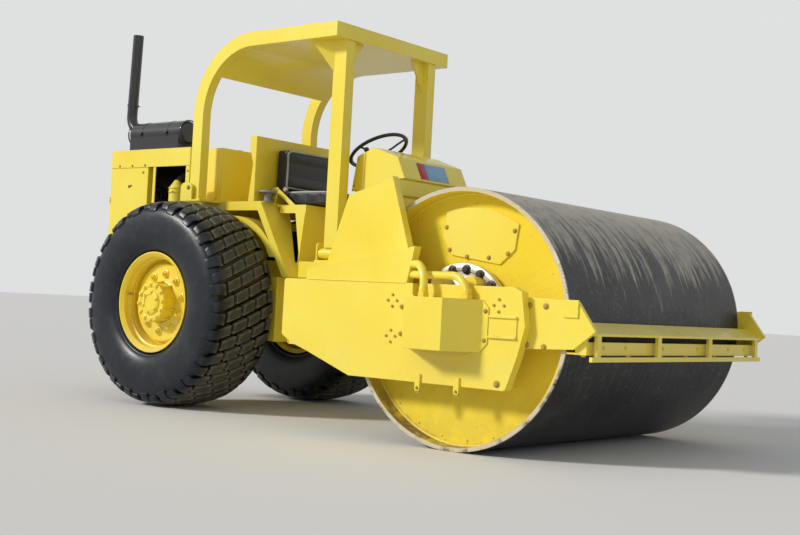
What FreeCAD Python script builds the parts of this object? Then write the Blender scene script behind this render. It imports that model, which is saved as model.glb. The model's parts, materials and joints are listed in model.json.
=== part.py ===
"""Articulated single-drum road roller: construction model in millimetres.

+X is forward, towards the drum, +Y is the left side and +Z is up.
The origin lies on the ground under the steering pivot.
"""
import FreeCAD, Part
import os
import Sketcher

# Driving dimensions: name, millimetres (or degrees, or a count), what it is
SIZES = (
    # Running gear
    ("pivot_to_drum", 1520, "steering pivot to drum axle"),
    ("pivot_to_axle", 1200, "steering pivot to rear axle"),
    ("drum_radius", 750, "outside of the drum shell"),
    ("drum_width", 2134, "drum shell, edge to edge"),
    ("drum_wall", 25, "shell thickness"),
    ("drum_recess", 110, "depth of the head behind the drum's edge"),
    ("drum_head", 30, "thickness of the drum head"),
    ("drum_bore_radius", 110, "hole in the head for the hub"),
    ("hatch_thick", 10, "access cover on the drum head"),
    ("hatch_inner", 345, "access cover, near edge from the axle"),
    ("hatch_shoulder", 440, "where the cover's chamfers end"),
    ("hatch_outer", 640, "radius of the cover's far edge"),
    ("hatch_half_inner", 172, "half width of the cover's near edge"),
    ("hatch_half_outer", 255, "half width of the cover"),
    ("hatch_turn", 8, "the covers stand this far round from upright, degrees"),
    ("tyre_radius", 735, "out to the tips of the tread"),
    ("tyre_half_width", 290, "half the section width"),
    ("tyre_middle", 745, "centre plane of a tyre from the machine's middle"),
    ("tread_half_width", 238, "half the tread"),
    ("tread_pitches", 26, "tread blocks in each row round the tyre"),
    ("tread_depth", 30, "height of the tread blocks"),
    ("tread_groove", 22, "groove between two rows of blocks"),
    ("row_edge", 119, "groove between inner and outer rows, from the tyre's middle"),
    ("crown_drop", 20, "edge of the tread below its middle"),
    ("shoulder_radius", 668, "where the outer blocks run out on the sidewall"),
    ("shoulder_half", 276, "the same place, from the tyre's middle"),
    ("belly_radius", 530, "where the sidewall is widest"),
    ("bead_radius", 334, "inside of the tyre"),
    ("rubber_thick", 28, "thickness of the bead"),
    ("rim_flange_radius", 358, "outside of the rim flange"),
    ("rim_half_width", 246, "half the rim, over the flanges"),
    ("rim_well_radius", 300, "rim barrel between the bead seats"),
    ("rim_wall", 12, "rim sheet"),
    ("disc_offset", 50, "outer face of the wheel disc from the tyre's middle"),
    ("disc_thick", 22, "wheel disc"),
    ("hub_radius", 150, "planetary hub"),
    ("hub_length", 110, "hub, out from the wheel disc"),
    ("hub_cap_radius", 92, "cap on the hub"),
    ("hub_cap_length", 24, "cap, out from the hub"),
    ("stub_radius", 60, "shaft inside the axle end"),
    ("stub_length", 90, "shaft, in from the wheel disc"),
    ("fit_gap", 0.3, "running gap round a shaft"),
    ("axle_tube_radius", 100, "axle beam"),
    ("axle_end_radius", 185, "planet housing at the axle's end"),
    ("axle_end_inner", 470, "planet housing, inner face"),
    ("axle_end_outer", 640, "planet housing, outer face"),
    ("axle_nose_radius", 105, "bearing nose on the planet housing"),
    ("axle_nose_gap", 12, "bearing nose to the wheel disc"),
    ("differential_radius", 215, "differential bulge"),
    ("differential_half", 170, "half the bulge's width"),
    # Steering joint
    ("pivot_height", 700, "centre of the steering joint above the ground"),
    ("pivot_pin_radius", 40, "vertical pin"),
    ("ear_reach", 95, "ear radius round the pin"),
    ("ear_thick", 40, "upper and lower pivot ears"),
    ("yoke_half_height", 135, "half height of the yoke's hub"),
    ("yoke_hub_radius", 85, "yoke hub round the pin"),
    ("ear_gap", 5, "yoke hub to each ear"),
    ("yoke_beam_rear", 62, "yoke's cross beam, rear face"),
    ("yoke_beam_front", 152, "yoke's cross beam, front face"),
    ("yoke_beam_half", 190, "half length of the yoke's cross beam"),
    ("yoke_beam_half_height", 62, "half height of the yoke's cross beam"),
    ("roll_flange_radius", 150, "yoke's roll flange"),
    ("roll_flange_thick", 32, "yoke's roll flange"),
    ("roll_pin_radius", 75, "roll spigot"),
    ("roll_pin_length", 150, "roll spigot, from the flange"),
    ("roll_ring_radius", 140, "bearing ring on the front frame"),
    ("roll_gap", 6, "flange to bearing ring"),
    ("cylinder_base_x", 500, "barrel pin behind the steering pivot"),
    ("cylinder_base_y", 220, "barrel pin from the middle"),
    ("cylinder_eye_x", 100, "rod pin ahead of the steering pivot"),
    ("cylinder_eye_y", 240, "rod pin from the middle"),
    ("barrel_radius", 45, "steering cylinder"),
    ("barrel_gap", 12, "barrel tube clear of the lugs round its pin"),
    ("barrel_end", 375, "barrel mouth from its pin"),
    ("rod_radius", 20, "steering rod"),
    ("rod_start", 200, "rod's inner end from the barrel pin"),
    ("eye_radius", 42, "cylinder eyes"),
    ("eye_half", 30, "half thickness of the cylinder eyes"),
    ("eye_pin_radius", 20, "cylinder pins"),
    ("lug_thick", 22, "lug plates either side of an eye"),
    ("lug_gap", 6, "lug plate to eye"),
    ("lug_radius", 48, "rounded end of a lug"),
    # Front frame
    ("frame_outer", 1160, "outer face of a side plate from the middle"),
    ("plate_thick", 60, "side plate"),
    ("plate_top", 940, "top edge of a side plate"),
    ("plate_bottom", 377, "bottom edge of a side plate"),
    ("plate_tail", 1264, "tail of the plate behind the drum axle"),
    ("tail_bottom", 590, "lower corner of the tail"),
    ("tail_step_x", 1171, "second corner of the swept bottom edge"),
    ("tail_step_height", 540, "second corner of the swept bottom edge"),
    ("sweep_x", 1040, "third corner of the swept bottom edge"),
    ("sweep_height", 499, "third corner of the swept bottom edge"),
    ("flat_start", 698, "where the level bottom edge begins"),
    ("notch_rear", 243, "hose notch, rear side"),
    ("notch_front", 150, "hose notch, front side"),
    ("notch_depth", 75, "hose notch below the top edge"),
    ("nose_top", 451, "front end of the top edge"),
    ("nose_shoulder_x", 504, "plate nose, upper corner"),
    ("nose_shoulder_height", 916, "plate nose, upper corner"),
    ("nose_tip", 534, "plate nose, most forward corner"),
    ("nose_tip_height", 730, "plate nose, most forward corner"),
    ("nose_chin_x", 493, "plate nose, lower corner"),
    ("nose_chin_height", 567, "plate nose, lower corner"),
    ("nose_foot", 424, "front end of the bottom edge"),
    ("corner_round", 22, "rounding of a plate's outline"),
    ("rail_width", 60, "side rail on top of the plate"),
    ("rail_tail", 1080, "tail of the side rail"),
    ("rail_tail_height", 1005, "top of the rail's tail"),
    ("rail_rise_x", 866, "where the rail's top turns"),
    ("rail_rise_height", 1042, "where the rail's top turns"),
    ("rail_front", 242, "front end of the rail's top"),
    ("rail_front_height", 1153, "front end of the rail's top"),
    ("rail_foot", 290, "front end of the rail's foot"),
    ("guard_out", 1120, "outer face of the guard panel"),
    ("guard_sheet", 8, "guard panel sheet"),
    ("guard_rear_top_x", 800, "guard panel, rear top corner"),
    ("guard_front_top_x", 430, "guard panel, front top corner"),
    ("guard_rise", 60, "guard panel's front top corner above the drum"),
    ("guard_fall", 100, "guard panel's rear top corner below the front one"),
    ("guard_rear_foot", 960, "guard panel, rear foot"),
    ("guard_front_foot", 288, "guard panel, front foot"),
    ("guard_flange", 45, "stiffening flange along the panel's front edge"),
    ("beam_depth", 110, "guard beam, front to back"),
    ("beam_height", 90, "guard beam"),
    ("beam_drop", 12, "guard beam below the panel's top corner"),
    ("arm_thick", 25, "front arm plate"),
    ("arm_root", 280, "rear end of the arm from the drum axle"),
    ("arm_root_top", 895, "arm, rear top corner"),
    ("arm_root_bottom", 600, "arm, rear bottom corner"),
    ("arm_top_x", 815, "arm, front top corner"),
    ("arm_top", 880, "arm, front top corner"),
    ("arm_tip", 930, "front tip of the arm"),
    ("arm_tip_height", 726, "front tip of the arm"),
    ("arm_chin_x", 800, "arm, lower front corner"),
    ("arm_chin", 625, "arm, lower front corner"),
    ("tab_rear", 737, "folded tab on the arm, rear edge"),
    ("tab_front", 825, "folded tab on the arm, front edge"),
    ("tab_bottom", 792, "folded tab on the arm, bottom"),
    ("tab_top", 886, "folded tab on the arm, top"),
    ("tab_thick", 8, "folded tab on the arm"),
    ("crossbox_rear", 1260, "rear face of the cross box from the drum axle"),
    ("crossbox_front", 1040, "front face of the cross box"),
    ("crossbox_bottom", 530, "cross box underside"),
    ("crossbox_top", 860, "cross box top"),
    ("bar_rear", 790, "front bar, rear edge from the drum axle"),
    ("bar_front", 905, "front bar, front edge"),
    ("bar_top", 772, "front bar, rear upper edge"),
    ("bar_lip", 716, "front bar, front lower edge"),
    ("bar_sheet", 14, "front bar plates"),
    ("post_width", 42, "post of the front bar"),
    ("post_depth", 20, "post of the front bar"),
    ("post_outer", 1010, "outer post from the middle"),
    ("post_inner", 330, "inner post from the middle"),
    ("lower_rail_bottom", 566, "lower rail of the front bar"),
    ("lower_rail_height", 26, "lower rail of the front bar"),
    ("scraper_height", 600, "scraper blade above the ground"),
    ("scraper_thick", 12, "scraper angle"),
    ("scraper_reach", 744, "blade edge ahead of the drum axle"),
    ("scraper_front", 868, "upright leg of the scraper angle"),
    ("scraper_leg", 70, "upright leg of the scraper angle"),
    ("scraper_tab", 70, "tab that bolts the scraper to an arm"),
    ("scraper_tab_top", 710, "top of the scraper tab"),
    ("carrier_radius", 320, "drum carrier disc"),
    ("carrier_thick", 28, "drum carrier disc"),
    ("carrier_inset", 55, "drum carrier disc, in from the drum's edge"),
    ("spindle_length", 70, "carrier spindle, in from the disc"),
    ("isolator_circle", 225, "circle of the rubber mounts"),
    ("isolator_radius", 48, "rubber mount"),
    ("isolator_count", 6, "rubber mounts a side"),
    ("cover_depth", 200, "motor cover, out from the side plate"),
    ("cover_rear", 137, "rear end of the cover's outer face, behind the axle"),
    ("cover_flat_front", 124, "front end of the cover's outer face"),
    ("cover_half", 257, "half the cover's length at the plate"),
    ("cover_base", 8, "base plate of the motor cover"),
    ("base_half", 297, "half the base plate's length"),
    ("base_shoulder", 822, "base plate, upper chamfer"),
    ("base_waist", 627, "base plate, lower chamfer"),
    ("base_chin_half", 245, "base plate, where its lower edge starts to slope"),
    ("base_keel_half", 112, "half the base plate's bottom edge"),
    ("base_keel", 541, "bottom of the base plate"),
    ("pad_rear", 302, "pad on the side plate ahead of the cover, rear end"),
    ("pad_front", 484, "pad on the side plate, front end"),
    ("pad_bottom", 659, "pad on the side plate, bottom"),
    ("pad_top", 781, "pad on the side plate, top"),
    ("pad_proud", 6, "pad above the side plate's face"),
    ("pad_rib", 12, "ribs along the pad's edges"),
    ("pad_rib_proud", 16, "ribs above the side plate's face"),
    ("hook_rear", 167, "rear tie hook behind the axle"),
    ("hook_front", 107, "front tie hook ahead of the axle"),
    ("hook_half", 18, "half width of a tie hook"),
    ("hook_drop", 48, "tie hook below the plate's edge"),
    ("hook_hole", 9, "hole in a tie hook"),
    ("hose_radius", 22, "drum motor hose"),
    ("hose_bend", 120, "bend of a drum motor hose"),
    ("hose_start", 280, "hoses leave the rail here, behind the axle"),
    ("hose_inset", 30, "hoses in from the side plate's face"),
    ("cover_bottom", 574, "motor cover, bottom"),
    ("cover_top", 864, "motor cover, top"),
    ("cover_sheet", 8, "motor cover sheet"),
    ("motor_radius", 85, "drum motor"),
    ("motor_length", 160, "drum motor, out from the plate"),
    # Rear frame
    ("body_half", 440, "half width of deck and hood"),
    ("frame_half", 400, "outer face of a chassis member from the middle"),
    ("member_thick", 30, "chassis member"),
    ("frame_front", 560, "front of the chassis behind the pivot"),
    ("frame_rear", 2360, "rear of the chassis behind the pivot"),
    ("frame_front_bottom", 500, "chassis underside at the front"),
    ("frame_top_front", 960, "chassis top under the platform"),
    ("frame_top_step", 900, "where the chassis top rises"),
    ("hood_base", 1106, "chassis top under the hood"),
    ("frame_rise_end", 1150, "where the rise of the chassis top ends"),
    ("frame_tail_bottom", 700, "chassis underside at the tail"),
    ("frame_belly_x", 1500, "lower corner of the chassis"),
    ("frame_belly", 560, "lower corner of the chassis"),
    ("bulkhead_thick", 30, "front plate of the chassis"),
    ("ear_root_half", 210, "half width of an ear at its root"),
    ("hitch_half", 110, "half width of the tow jaw"),
    ("hitch_gap", 60, "opening of the tow jaw"),
    ("hitch_plate", 25, "tow jaw plate"),
    ("hitch_length", 90, "jaw plate behind the chassis tail"),
    ("hitch_eye", 40, "tow pin from the jaw's end"),
    ("hitch_height", 820, "tow pin height"),
    ("tow_pin_radius", 20, "hole for the tow pin"),
    ("platform_rear", 600, "rear of the operator's platform"),
    ("platform_step", 212, "where the platform widens"),
    ("platform_tail_half", 315, "half width of the platform behind the step"),
    ("platform_front", 190, "front of the wide part, ahead of the pivot"),
    ("platform_toe", 440, "toe board, ahead of the pivot"),
    ("platform_half", 552, "half width of the platform"),
    ("toe_half", 360, "half width of the toe board"),
    ("platform_top", 1070, "platform surface"),
    ("deck_top", 1500, "upper deck"),
    ("deck_sheet", 15, "upper deck"),
    ("deck_flange", 66, "depth of the deck's side flange"),
    ("flange_thick", 10, "deck's side flange"),
    ("deck_front", 720, "front edge of the upper deck"),
    ("hood_front", 1520, "front of the hood"),
    ("hood_rear", 2450, "rear of the hood"),
    ("hood_top", 1920, "top of the hood"),
    ("hood_band", 140, "side band of the hood"),
    ("hood_sheet", 6, "hood sheet"),
    ("panel_sheet", 8, "side panel sheet"),
    ("bay_front", 1560, "engine bay opening, front"),
    ("bay_rear", 2000, "engine bay opening, rear"),
    ("bay_bottom", 1240, "engine bay opening, bottom"),
    ("bay_strip_rear", 1940, "upright strip in the opening, rear edge"),
    ("bay_strip_front", 1912, "upright strip in the opening, front edge"),
    ("bay_jamb", 50, "folded edge behind the opening"),
    ("firewall_thick", 8, "plate ahead of the engine"),
    ("grille_thick", 24, "rear grille"),
    ("grille_bottom", 1130, "rear grille, bottom"),
    ("grille_border", 55, "frame of the rear grille"),
    ("grille_slots", 9, "slots of the rear grille"),
    ("grille_bar", 26, "bar between two slots"),
    ("engine_front", 1580, "engine block, front"),
    ("engine_rear", 2270, "engine block, rear"),
    ("engine_half", 250, "half width of the engine block"),
    ("engine_sump_half", 150, "half width of the sump"),
    ("engine_bottom", 760, "bottom of the sump"),
    ("engine_flank", 880, "where the sump widens into the block"),
    ("engine_shoulder", 1270, "where the block narrows"),
    ("engine_deck", 1350, "top of the block"),
    ("engine_deck_half", 175, "half width of the block's top"),
    ("head_inset", 70, "cylinder head, in from the block's ends"),
    ("head_half", 135, "half width of the cylinder head"),
    ("head_top", 1540, "top of the cylinder head"),
    ("cover_inset", 40, "valve cover, in from the head's ends"),
    ("valve_cover_half", 85, "half width of the valve cover"),
    ("engine_top", 1640, "top of the valve cover"),
    ("housing_x", 1790, "round housing on the engine's side, behind the pivot"),
    ("housing_height", 1440, "round housing, centre"),
    ("housing_radius", 165, "round housing"),
    ("housing_out", 265, "round housing, outer face from the middle"),
    ("engine_mount", 60, "engine cross member"),
    ("engine_mount_bottom", 800, "engine cross member, underside"),
    ("engine_mount_inset", 90, "engine cross member from the block's end"),
    ("fan_height", 1400, "fan axis"),
    ("fan_radius", 235, "fan"),
    ("fan_hub", 62, "fan hub"),
    ("fan_depth", 48, "fan, front to back"),
    ("fan_blades", 6, "fan blades"),
    ("radiator_front", 2370, "radiator, front face behind the pivot"),
    ("radiator_rear", 2420, "radiator, rear face"),
    ("radiator_half", 350, "half width of the radiator"),
    ("radiator_top", 1750, "top of the radiator"),
    ("radiator_foot", 20, "radiator foot"),
    ("radiator_fins", 11, "upright tubes of the radiator"),
    ("cleaner_x", 1740, "air cleaner behind the pivot"),
    ("cleaner_y", 355, "air cleaner from the middle"),
    ("cleaner_radius", 62, "air cleaner"),
    ("cleaner_bottom", 1400, "air cleaner, bottom"),
    ("cleaner_top", 1620, "air cleaner, shoulder"),
    ("cleaner_cap", 60, "cone on the air cleaner"),
    ("muffler_y", 300, "muffler from the middle"),
    ("muffler_rise", 135, "muffler axis above the hood"),
    ("muffler_radius", 98, "muffler"),
    ("muffler_front", 1690, "muffler, front end"),
    ("muffler_rear", 2320, "muffler, rear end"),
    ("stack_radius", 42, "exhaust pipe"),
    ("stack_bend", 130, "bend at the foot of the exhaust pipe"),
    ("stack_lean", 2, "exhaust pipe leans forward, degrees"),
    ("stack_top", 2880, "top of the exhaust pipe"),
    ("elbow_rise", 35, "elbow above the muffler's axis"),
    ("elbow_inset", 45, "elbow starts this far inside the muffler"),
    ("muffler_dome", 26, "rounded edge of the muffler's ends"),
    ("clamp_rise", 70, "clamp above the bend"),
    ("clamp_height", 24, "clamp on the exhaust pipe"),
    ("clamp_tab", 34, "tongue on the clamp"),
    ("saddle_width", 40, "air cleaner strap"),
    ("tank_rear", 1430, "tank, rear"),
    ("tank_front", 1150, "tank, front"),
    ("tank_inner", 30, "tank's inner side from the middle"),
    ("tank_top", 1900, "top of the tank"),
    ("bulkhead_front", 800, "front face of the bulkhead"),
    ("bulkhead_sheet", 12, "bulkhead behind the seat"),
    ("wing_depth", 65, "side wing of the bulkhead, at its top"),
    ("wing_waist_depth", 28, "side wing at its narrowest"),
    ("wing_foot_depth", 60, "side wing at its foot"),
    ("wing_shoulder", 1885, "where the wing starts to narrow"),
    ("wing_waist", 1775, "where the wing is narrowest"),
    ("bulkhead_top", 1975, "top of the bulkhead"),
    ("riser_foot", 455, "foot of the riser's front sheet"),
    ("riser_brow", 410, "top of the riser's front sheet"),
    ("riser_rear", 700, "rear edge of the riser's top"),
    ("riser_half", 300, "half width of the riser"),
    ("riser_sheet", 12, "riser sheet"),
    ("riser_gusset", 110, "side gusset of the riser, along its top"),
    ("riser_lip", 48, "edge flange of the riser's top"),
    ("lip_rear", 665, "rear end of the edge flange, clear of the deck's leg"),
    ("seat_half", 250, "half width of the seat"),
    ("cushion_rear", 690, "seat cushion, rear"),
    ("cushion_front", 240, "seat cushion, front"),
    ("cushion_thick", 105, "seat cushion"),
    ("back_thick", 100, "seat back"),
    ("back_rear", 770, "seat back, rear at its foot"),
    ("back_top", 1905, "top of the seat back"),
    ("soft_gap", 0.3, "seat parts lie this far from each other"),
    ("leg_top_x", 720, "top of the leg's front face"),
    ("leg_foot_x", 410, "foot of the leg's front face"),
    ("leg_flange", 65, "side flange of the leg"),
    ("leg_sheet", 12, "leg sheet"),
    ("leg_inner_top", 150, "inner edge of the leg at its top"),
    ("arch_x", 1000, "centre of the wheel arch's bend"),
    ("arch_height", 920, "centre of the wheel arch's bend"),
    ("arch_radius", 475, "outer radius of the wheel arch's bend"),
    ("arch_flange", 50, "side flange of the wheel arch"),
    ("arch_inner", 300, "inner edge of the wheel arch's sheet"),
    ("arch_foot", 1100, "lower end of the wheel arch's bend"),
    ("strap_side", 292, "seat strap, inner face from the middle"),
    ("strap_thick", 8, "seat strap"),
    ("strap_top", 1602, "top of the seat strap"),
    ("cap_x", 730, "filler cap behind the pivot"),
    ("cap_y", 370, "filler cap from the middle"),
    ("cap_radius", 67, "filler cap"),
    ("cap_bottom", 1558, "filler cap, underside"),
    ("cap_top", 1592, "filler cap, top"),
    ("neck_radius", 18, "neck under the filler cap"),
    # Console
    ("console_half", 355, "half width of the console"),
    ("console_foot_rear", 150, "pedestal foot, rear"),
    ("console_foot_front", 420, "pedestal foot, front"),
    ("console_knee_x", 61, "rear lower corner of the desk"),
    ("console_knee_height", 1570, "rear lower corner of the desk"),
    ("console_rear_x", 101, "rear upper corner of the desk"),
    ("console_rear_height", 1807, "rear upper corner of the desk"),
    ("console_peak_x", 246, "ridge of the desk"),
    ("console_peak_height", 1864, "ridge of the desk"),
    ("console_brow_x", 456, "front upper corner of the desk"),
    ("console_brow_height", 1791, "front upper corner of the desk"),
    ("console_lip_x", 523, "front lower corner of the desk"),
    ("console_lip_height", 1650, "front lower corner of the desk"),
    ("console_throat_x", 446, "pedestal under the desk"),
    ("console_throat_height", 1642, "pedestal under the desk"),
    ("wheel_x", 15, "steering wheel centre, behind the pivot"),
    ("wheel_height", 1895, "steering wheel centre"),
    ("wheel_ring_radius", 205, "steering wheel ring"),
    ("wheel_grip", 13, "steering wheel ring section"),
    ("wheel_tilt", 30, "steering wheel tilt, degrees"),
    ("column_radius", 24, "steering column"),
    ("column_length", 190, "steering column, down from the wheel"),
    # Roll bar
    ("rops_top", 2690, "top of the roll bar"),
    ("rops_tube", 100, "roll bar tube, in side view"),
    ("rops_across", 75, "roll bar tube, across the machine"),
    ("rops_outer", 617, "outer face of the side rails"),
    ("rops_front", 87, "front of the roof, ahead of the pivot"),
    ("rops_rear", 1296, "rear face of the rear legs"),
    ("rops_bend", 570, "outer radius of the bend"),
    ("rops_post_front", 72, "front post, front face"),
    ("rops_post_depth", 115, "front post, front to back"),
    ("rops_post_side", 493, "front post, outer face"),
    ("rops_post_across", 85, "front post, across"),
    ("post_foot", 1170, "lower end of the front post"),
    ("roof_sheet", 5, "roof sheet"),
    ("roof_drop", 12, "roof cross members below the tube's top"),
    ("roof_wrap", 53, "the roof sheet follows the rear bend this far, degrees"),
    ("roof_cross_x", 560, "middle roof cross member"),
    ("cross_tube", 60, "roof cross member"),
    ("foot_ear", 12, "ear plates of a roll bar foot"),
    ("foot_base", 14, "base plate of a roll bar foot"),
    ("bracket_reach", 30, "rear foot bracket, out beyond the rail"),
    ("bracket_rear", 1360, "rear foot bracket, rear edge"),
    ("bracket_front", 1150, "rear foot bracket, front edge"),
    ("rear_ear_front", 1240, "ear of the rear foot, front edge"),
    ("rear_ear_top", 1622, "top of the rear foot's ear"),
    ("foot_setback", 27, "front foot's middle behind the post's"),
    ("ear_rise", 36, "front foot's ears above the post's end"),
    ("gusset_drop", 220, "roof gussets, down the post"),
    ("gusset_run", 171, "side gusset, along the rail"),
    ("gusset_yaw", 30.6, "side gusset turns out to the rail, degrees"),
    ("gusset_in", 138, "front gusset, in along the beam"),
    ("gusset_thick", 10, "roof gussets"),
    ("bracket_length", 200, "front foot, front to back"),
    ("foot_tube_radius", 38, "cross tube in the front foot"),
)


class Size:
    """A length that keeps the sheet formula it comes from."""

    def __init__(self, number, formula):
        self.number = float(number)
        self.formula = formula

    def joined(self, other, sign, number):
        return Size(number, "(%s %s %s)" % (self.formula, sign, formula_of(other)))

    def __add__(self, other):
        return self.joined(other, "+", self.number + number_of(other))

    def __sub__(self, other):
        return self.joined(other, "-", self.number - number_of(other))

    def __mul__(self, other):
        return self.joined(other, "*", self.number * number_of(other))

    def __truediv__(self, other):
        return self.joined(other, "/", self.number / number_of(other))

    def __neg__(self):
        return Size(-self.number, "(0 - %s)" % self.formula)


def number_of(value):
    return value.number if isinstance(value, Size) else float(value)


def formula_of(value):
    return value.formula if isinstance(value, Size) else repr(value)


doc = FreeCAD.newDocument("RoadRoller")
sheet = doc.addObject("Spreadsheet::Sheet", "Dims")
for row, (alias, number, meaning) in enumerate(SIZES, start=1):
    sheet.set("A%d" % row, alias)
    sheet.set("B%d" % row, str(number))
    sheet.set("C%d" % row, meaning)
    sheet.setAlias("B%d" % row, alias)
doc.recompute()


class Dims:
    """The sheet's values by name, each with its formula."""


D = Dims()
for alias, number, meaning in SIZES:
    setattr(D, alias, Size(number, "Dims." + alias))

ZERO = Size(0, "0")
nodes = {}


def tie(thing, prop, value):
    """Bind one property to its sheet formula."""
    thing.setExpression(prop, formula_of(value))


def place(thing, x=0, y=0, z=0):
    """Bind a piece's position."""
    for letter, value in (("x", x), ("y", y), ("z", z)):
        tie(thing, "Placement.Base." + letter, value)


def node(label, thing):
    """Name a finished sub-part."""
    thing.Label = label
    nodes[label] = thing
    return thing


def origin_plane(body, role):
    return [item for item in body.Origin.OriginFeatures if item.Role == role][0]


def sketch_loops(body, role, loops, circles=()):
    """Sketch closed outlines, every corner tied to the sheet."""
    sketch = body.newObject("Sketcher::SketchObject", body.Name + "_sketch")
    sketch.AttachmentSupport = [(origin_plane(body, role), "")]
    sketch.MapMode = "FlatFace"
    first = 0
    for loop in loops:
        points = [FreeCAD.Vector(number_of(u), number_of(v), 0) for u, v in loop]
        count = len(points)
        lines = [Part.LineSegment(points[i], points[(i + 1) % count]) for i in range(count)]
        sketch.addGeometry(lines, False)
        for i in range(count):
            following = first + (i + 1) % count
            sketch.addConstraint(Sketcher.Constraint("Coincident", first + i, 2, following, 1))
        for i, corner in enumerate(loop):
            for kind, value in zip(("DistanceX", "DistanceY"), corner):
                rule = Sketcher.Constraint(kind, -1, 1, first + i, 1, number_of(value))
                index = sketch.addConstraint(rule)
                sketch.setExpression("Constraints[%d]" % index, formula_of(value))
        first += count
    for u, v, radius in circles:
        centre = FreeCAD.Vector(number_of(u), number_of(v), 0)
        up = FreeCAD.Vector(0, 0, 1)
        sketch.addGeometry(Part.Circle(centre, up, number_of(radius)), False)
        for kind, value in (("DistanceX", u), ("DistanceY", v)):
            rule = Sketcher.Constraint(kind, -1, 1, first, 3, number_of(value))
            index = sketch.addConstraint(rule)
            sketch.setExpression("Constraints[%d]" % index, formula_of(value))
        index = sketch.addConstraint(Sketcher.Constraint("Radius", first, number_of(radius)))
        sketch.setExpression("Constraints[%d]" % index, formula_of(radius))
        first += 1
    return sketch


# Sketch plane: role, normal's letter, whether the pad runs against it
PLANES = {"XZ": ("XZ_Plane", "y", True), "YZ": ("YZ_Plane", "x", False), "XY": ("XY_Plane", "z", False)}


def prism(name, plane, outline, low, high, rounds=None, windows=(), circles=()):
    """Pad an outline from low to high along the plane's normal."""
    role, letter, against = PLANES[plane]
    body = doc.addObject("PartDesign::Body", name)
    sketch = sketch_loops(body, role, [outline] + list(windows), circles)
    pad = body.newObject("PartDesign::Pad", name + "_pad")
    pad.Profile = sketch
    tie(pad, "Length", high - low)
    if rounds:
        doc.recompute()
        round_corners(body, pad, plane, outline, rounds)
    tie(body, "Placement.Base." + letter, high if against else low)
    return body


def round_corners(body, pad, plane, outline, rounds):
    """Fillet the pad's long edges at the numbered corners of its outline."""
    letters = {"XZ": ("x", "z", "y"), "YZ": ("y", "z", "x"), "XY": ("x", "y", "z")}[plane]
    base = pad
    for radius in sorted(set(rounds.values()), key=number_of):
        picked = []
        for corner, wanted in rounds.items():
            if wanted is not radius:
                continue
            u, v = (number_of(value) for value in outline[corner])
            for index, edge in enumerate(base.Shape.Edges, start=1):
                ends = [vertex.Point for vertex in edge.Vertexes]
                if len(ends) != 2 or abs(getattr(ends[0] - ends[1], letters[2])) < 1e-6:
                    continue
                near = all(abs(getattr(end, letters[0]) - u) < 0.01
                           and abs(getattr(end, letters[1]) - v) < 0.01 for end in ends)
                if near:
                    picked.append("Edge%d" % index)
        fillet = body.newObject("PartDesign::Fillet", body.Name + "_round")
        fillet.Base = (base, picked)
        tie(fillet, "Radius", radius)
        body.Tip = fillet
        doc.recompute()
        base = fillet


def turned(name, axis, profile):
    """Revolve a closed profile of (along the axis, radius) corners."""
    body = doc.addObject("PartDesign::Body", name)
    if axis == "x":
        role, loop, line = "XZ_Plane", profile, "H_Axis"
    elif axis == "y":
        role, loop, line = "XY_Plane", [(radius, along) for along, radius in profile], "V_Axis"
    else:
        role, loop, line = "XZ_Plane", [(radius, along) for along, radius in profile], "V_Axis"
    sketch = sketch_loops(body, role, [loop])
    spin = body.newObject("PartDesign::Revolution", name + "_turn")
    spin.Profile = sketch
    spin.ReferenceAxis = (sketch, [line])
    spin.Angle = 360
    return body


def box(name, x, y, z):
    """A block between pairs of faces along each axis."""
    block = doc.addObject("Part::Box", name)
    for prop, (low, high) in (("Length", x), ("Width", y), ("Height", z)):
        tie(block, prop, high - low)
    place(block, x[0], y[0], z[0])
    return block


TURNS = {
    "x": FreeCAD.Rotation(FreeCAD.Vector(0, 1, 0), 90),
    "y": FreeCAD.Rotation(FreeCAD.Vector(1, 0, 0), -90),
    "z": FreeCAD.Rotation(),
}


def rod(name, axis, radius, low, high, x=ZERO, y=ZERO, z=ZERO):
    """A cylinder along one axis from low to high; the other two places fix its line."""
    piece = doc.addObject("Part::Cylinder", name)
    tie(piece, "Radius", radius)
    tie(piece, "Height", high - low)
    piece.Placement = FreeCAD.Placement(FreeCAD.Vector(), TURNS[axis])
    spot = {"x": x, "y": y, "z": z}
    spot[axis] = low
    place(piece, **spot)
    return piece


def fuse(name, pieces):
    joined = doc.addObject("Part::MultiFuse", name)
    joined.Shapes = list(pieces)
    joined.Refine = True
    return joined


def cut(name, base, *tools):
    for number, tool in enumerate(tools):
        last = doc.addObject("Part::Cut", "%s_cut%d" % (name, number))
        last.Base = base
        last.Tool = tool
        base = last
    last.Refine = True
    return last


def common(name, pieces):
    """What all the pieces share."""
    shared = doc.addObject("Part::MultiCommon", name)
    shared.Shapes = list(pieces)
    shared.Refine = True
    return shared


def group(name, pieces):
    """Like pieces that do not touch, kept as one sub-part."""
    bundle = doc.addObject("Part::Compound", name)
    bundle.Links = list(pieces)
    return bundle


def mirrored(name, source):
    """The same piece on the other side of the machine."""
    twin = doc.addObject("Part::Mirroring", name)
    twin.Source = source
    twin.Normal = FreeCAD.Vector(0, 1, 0)
    twin.Base = FreeCAD.Vector(0, 0, 0)
    return twin


def pair(label, source):
    """A right-hand piece and its left-hand twin as one sub-part."""
    return node(label, group(label, [source, mirrored(label + "_twin", source)]))


# Places worked out from the driving dimensions
drum_edge = D.drum_width / 2
plate_inner = D.frame_outer - D.plate_thick
head_face = drum_edge - D.drum_recess
axle_x = -D.pivot_to_axle
rod_line = D.pivot_height


def ahead(value):
    """A place given from the drum axle, forward positive."""
    return D.pivot_to_drum + value


def behind(value):
    """A place given from the drum axle, backward positive."""
    return D.pivot_to_drum - value


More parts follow.
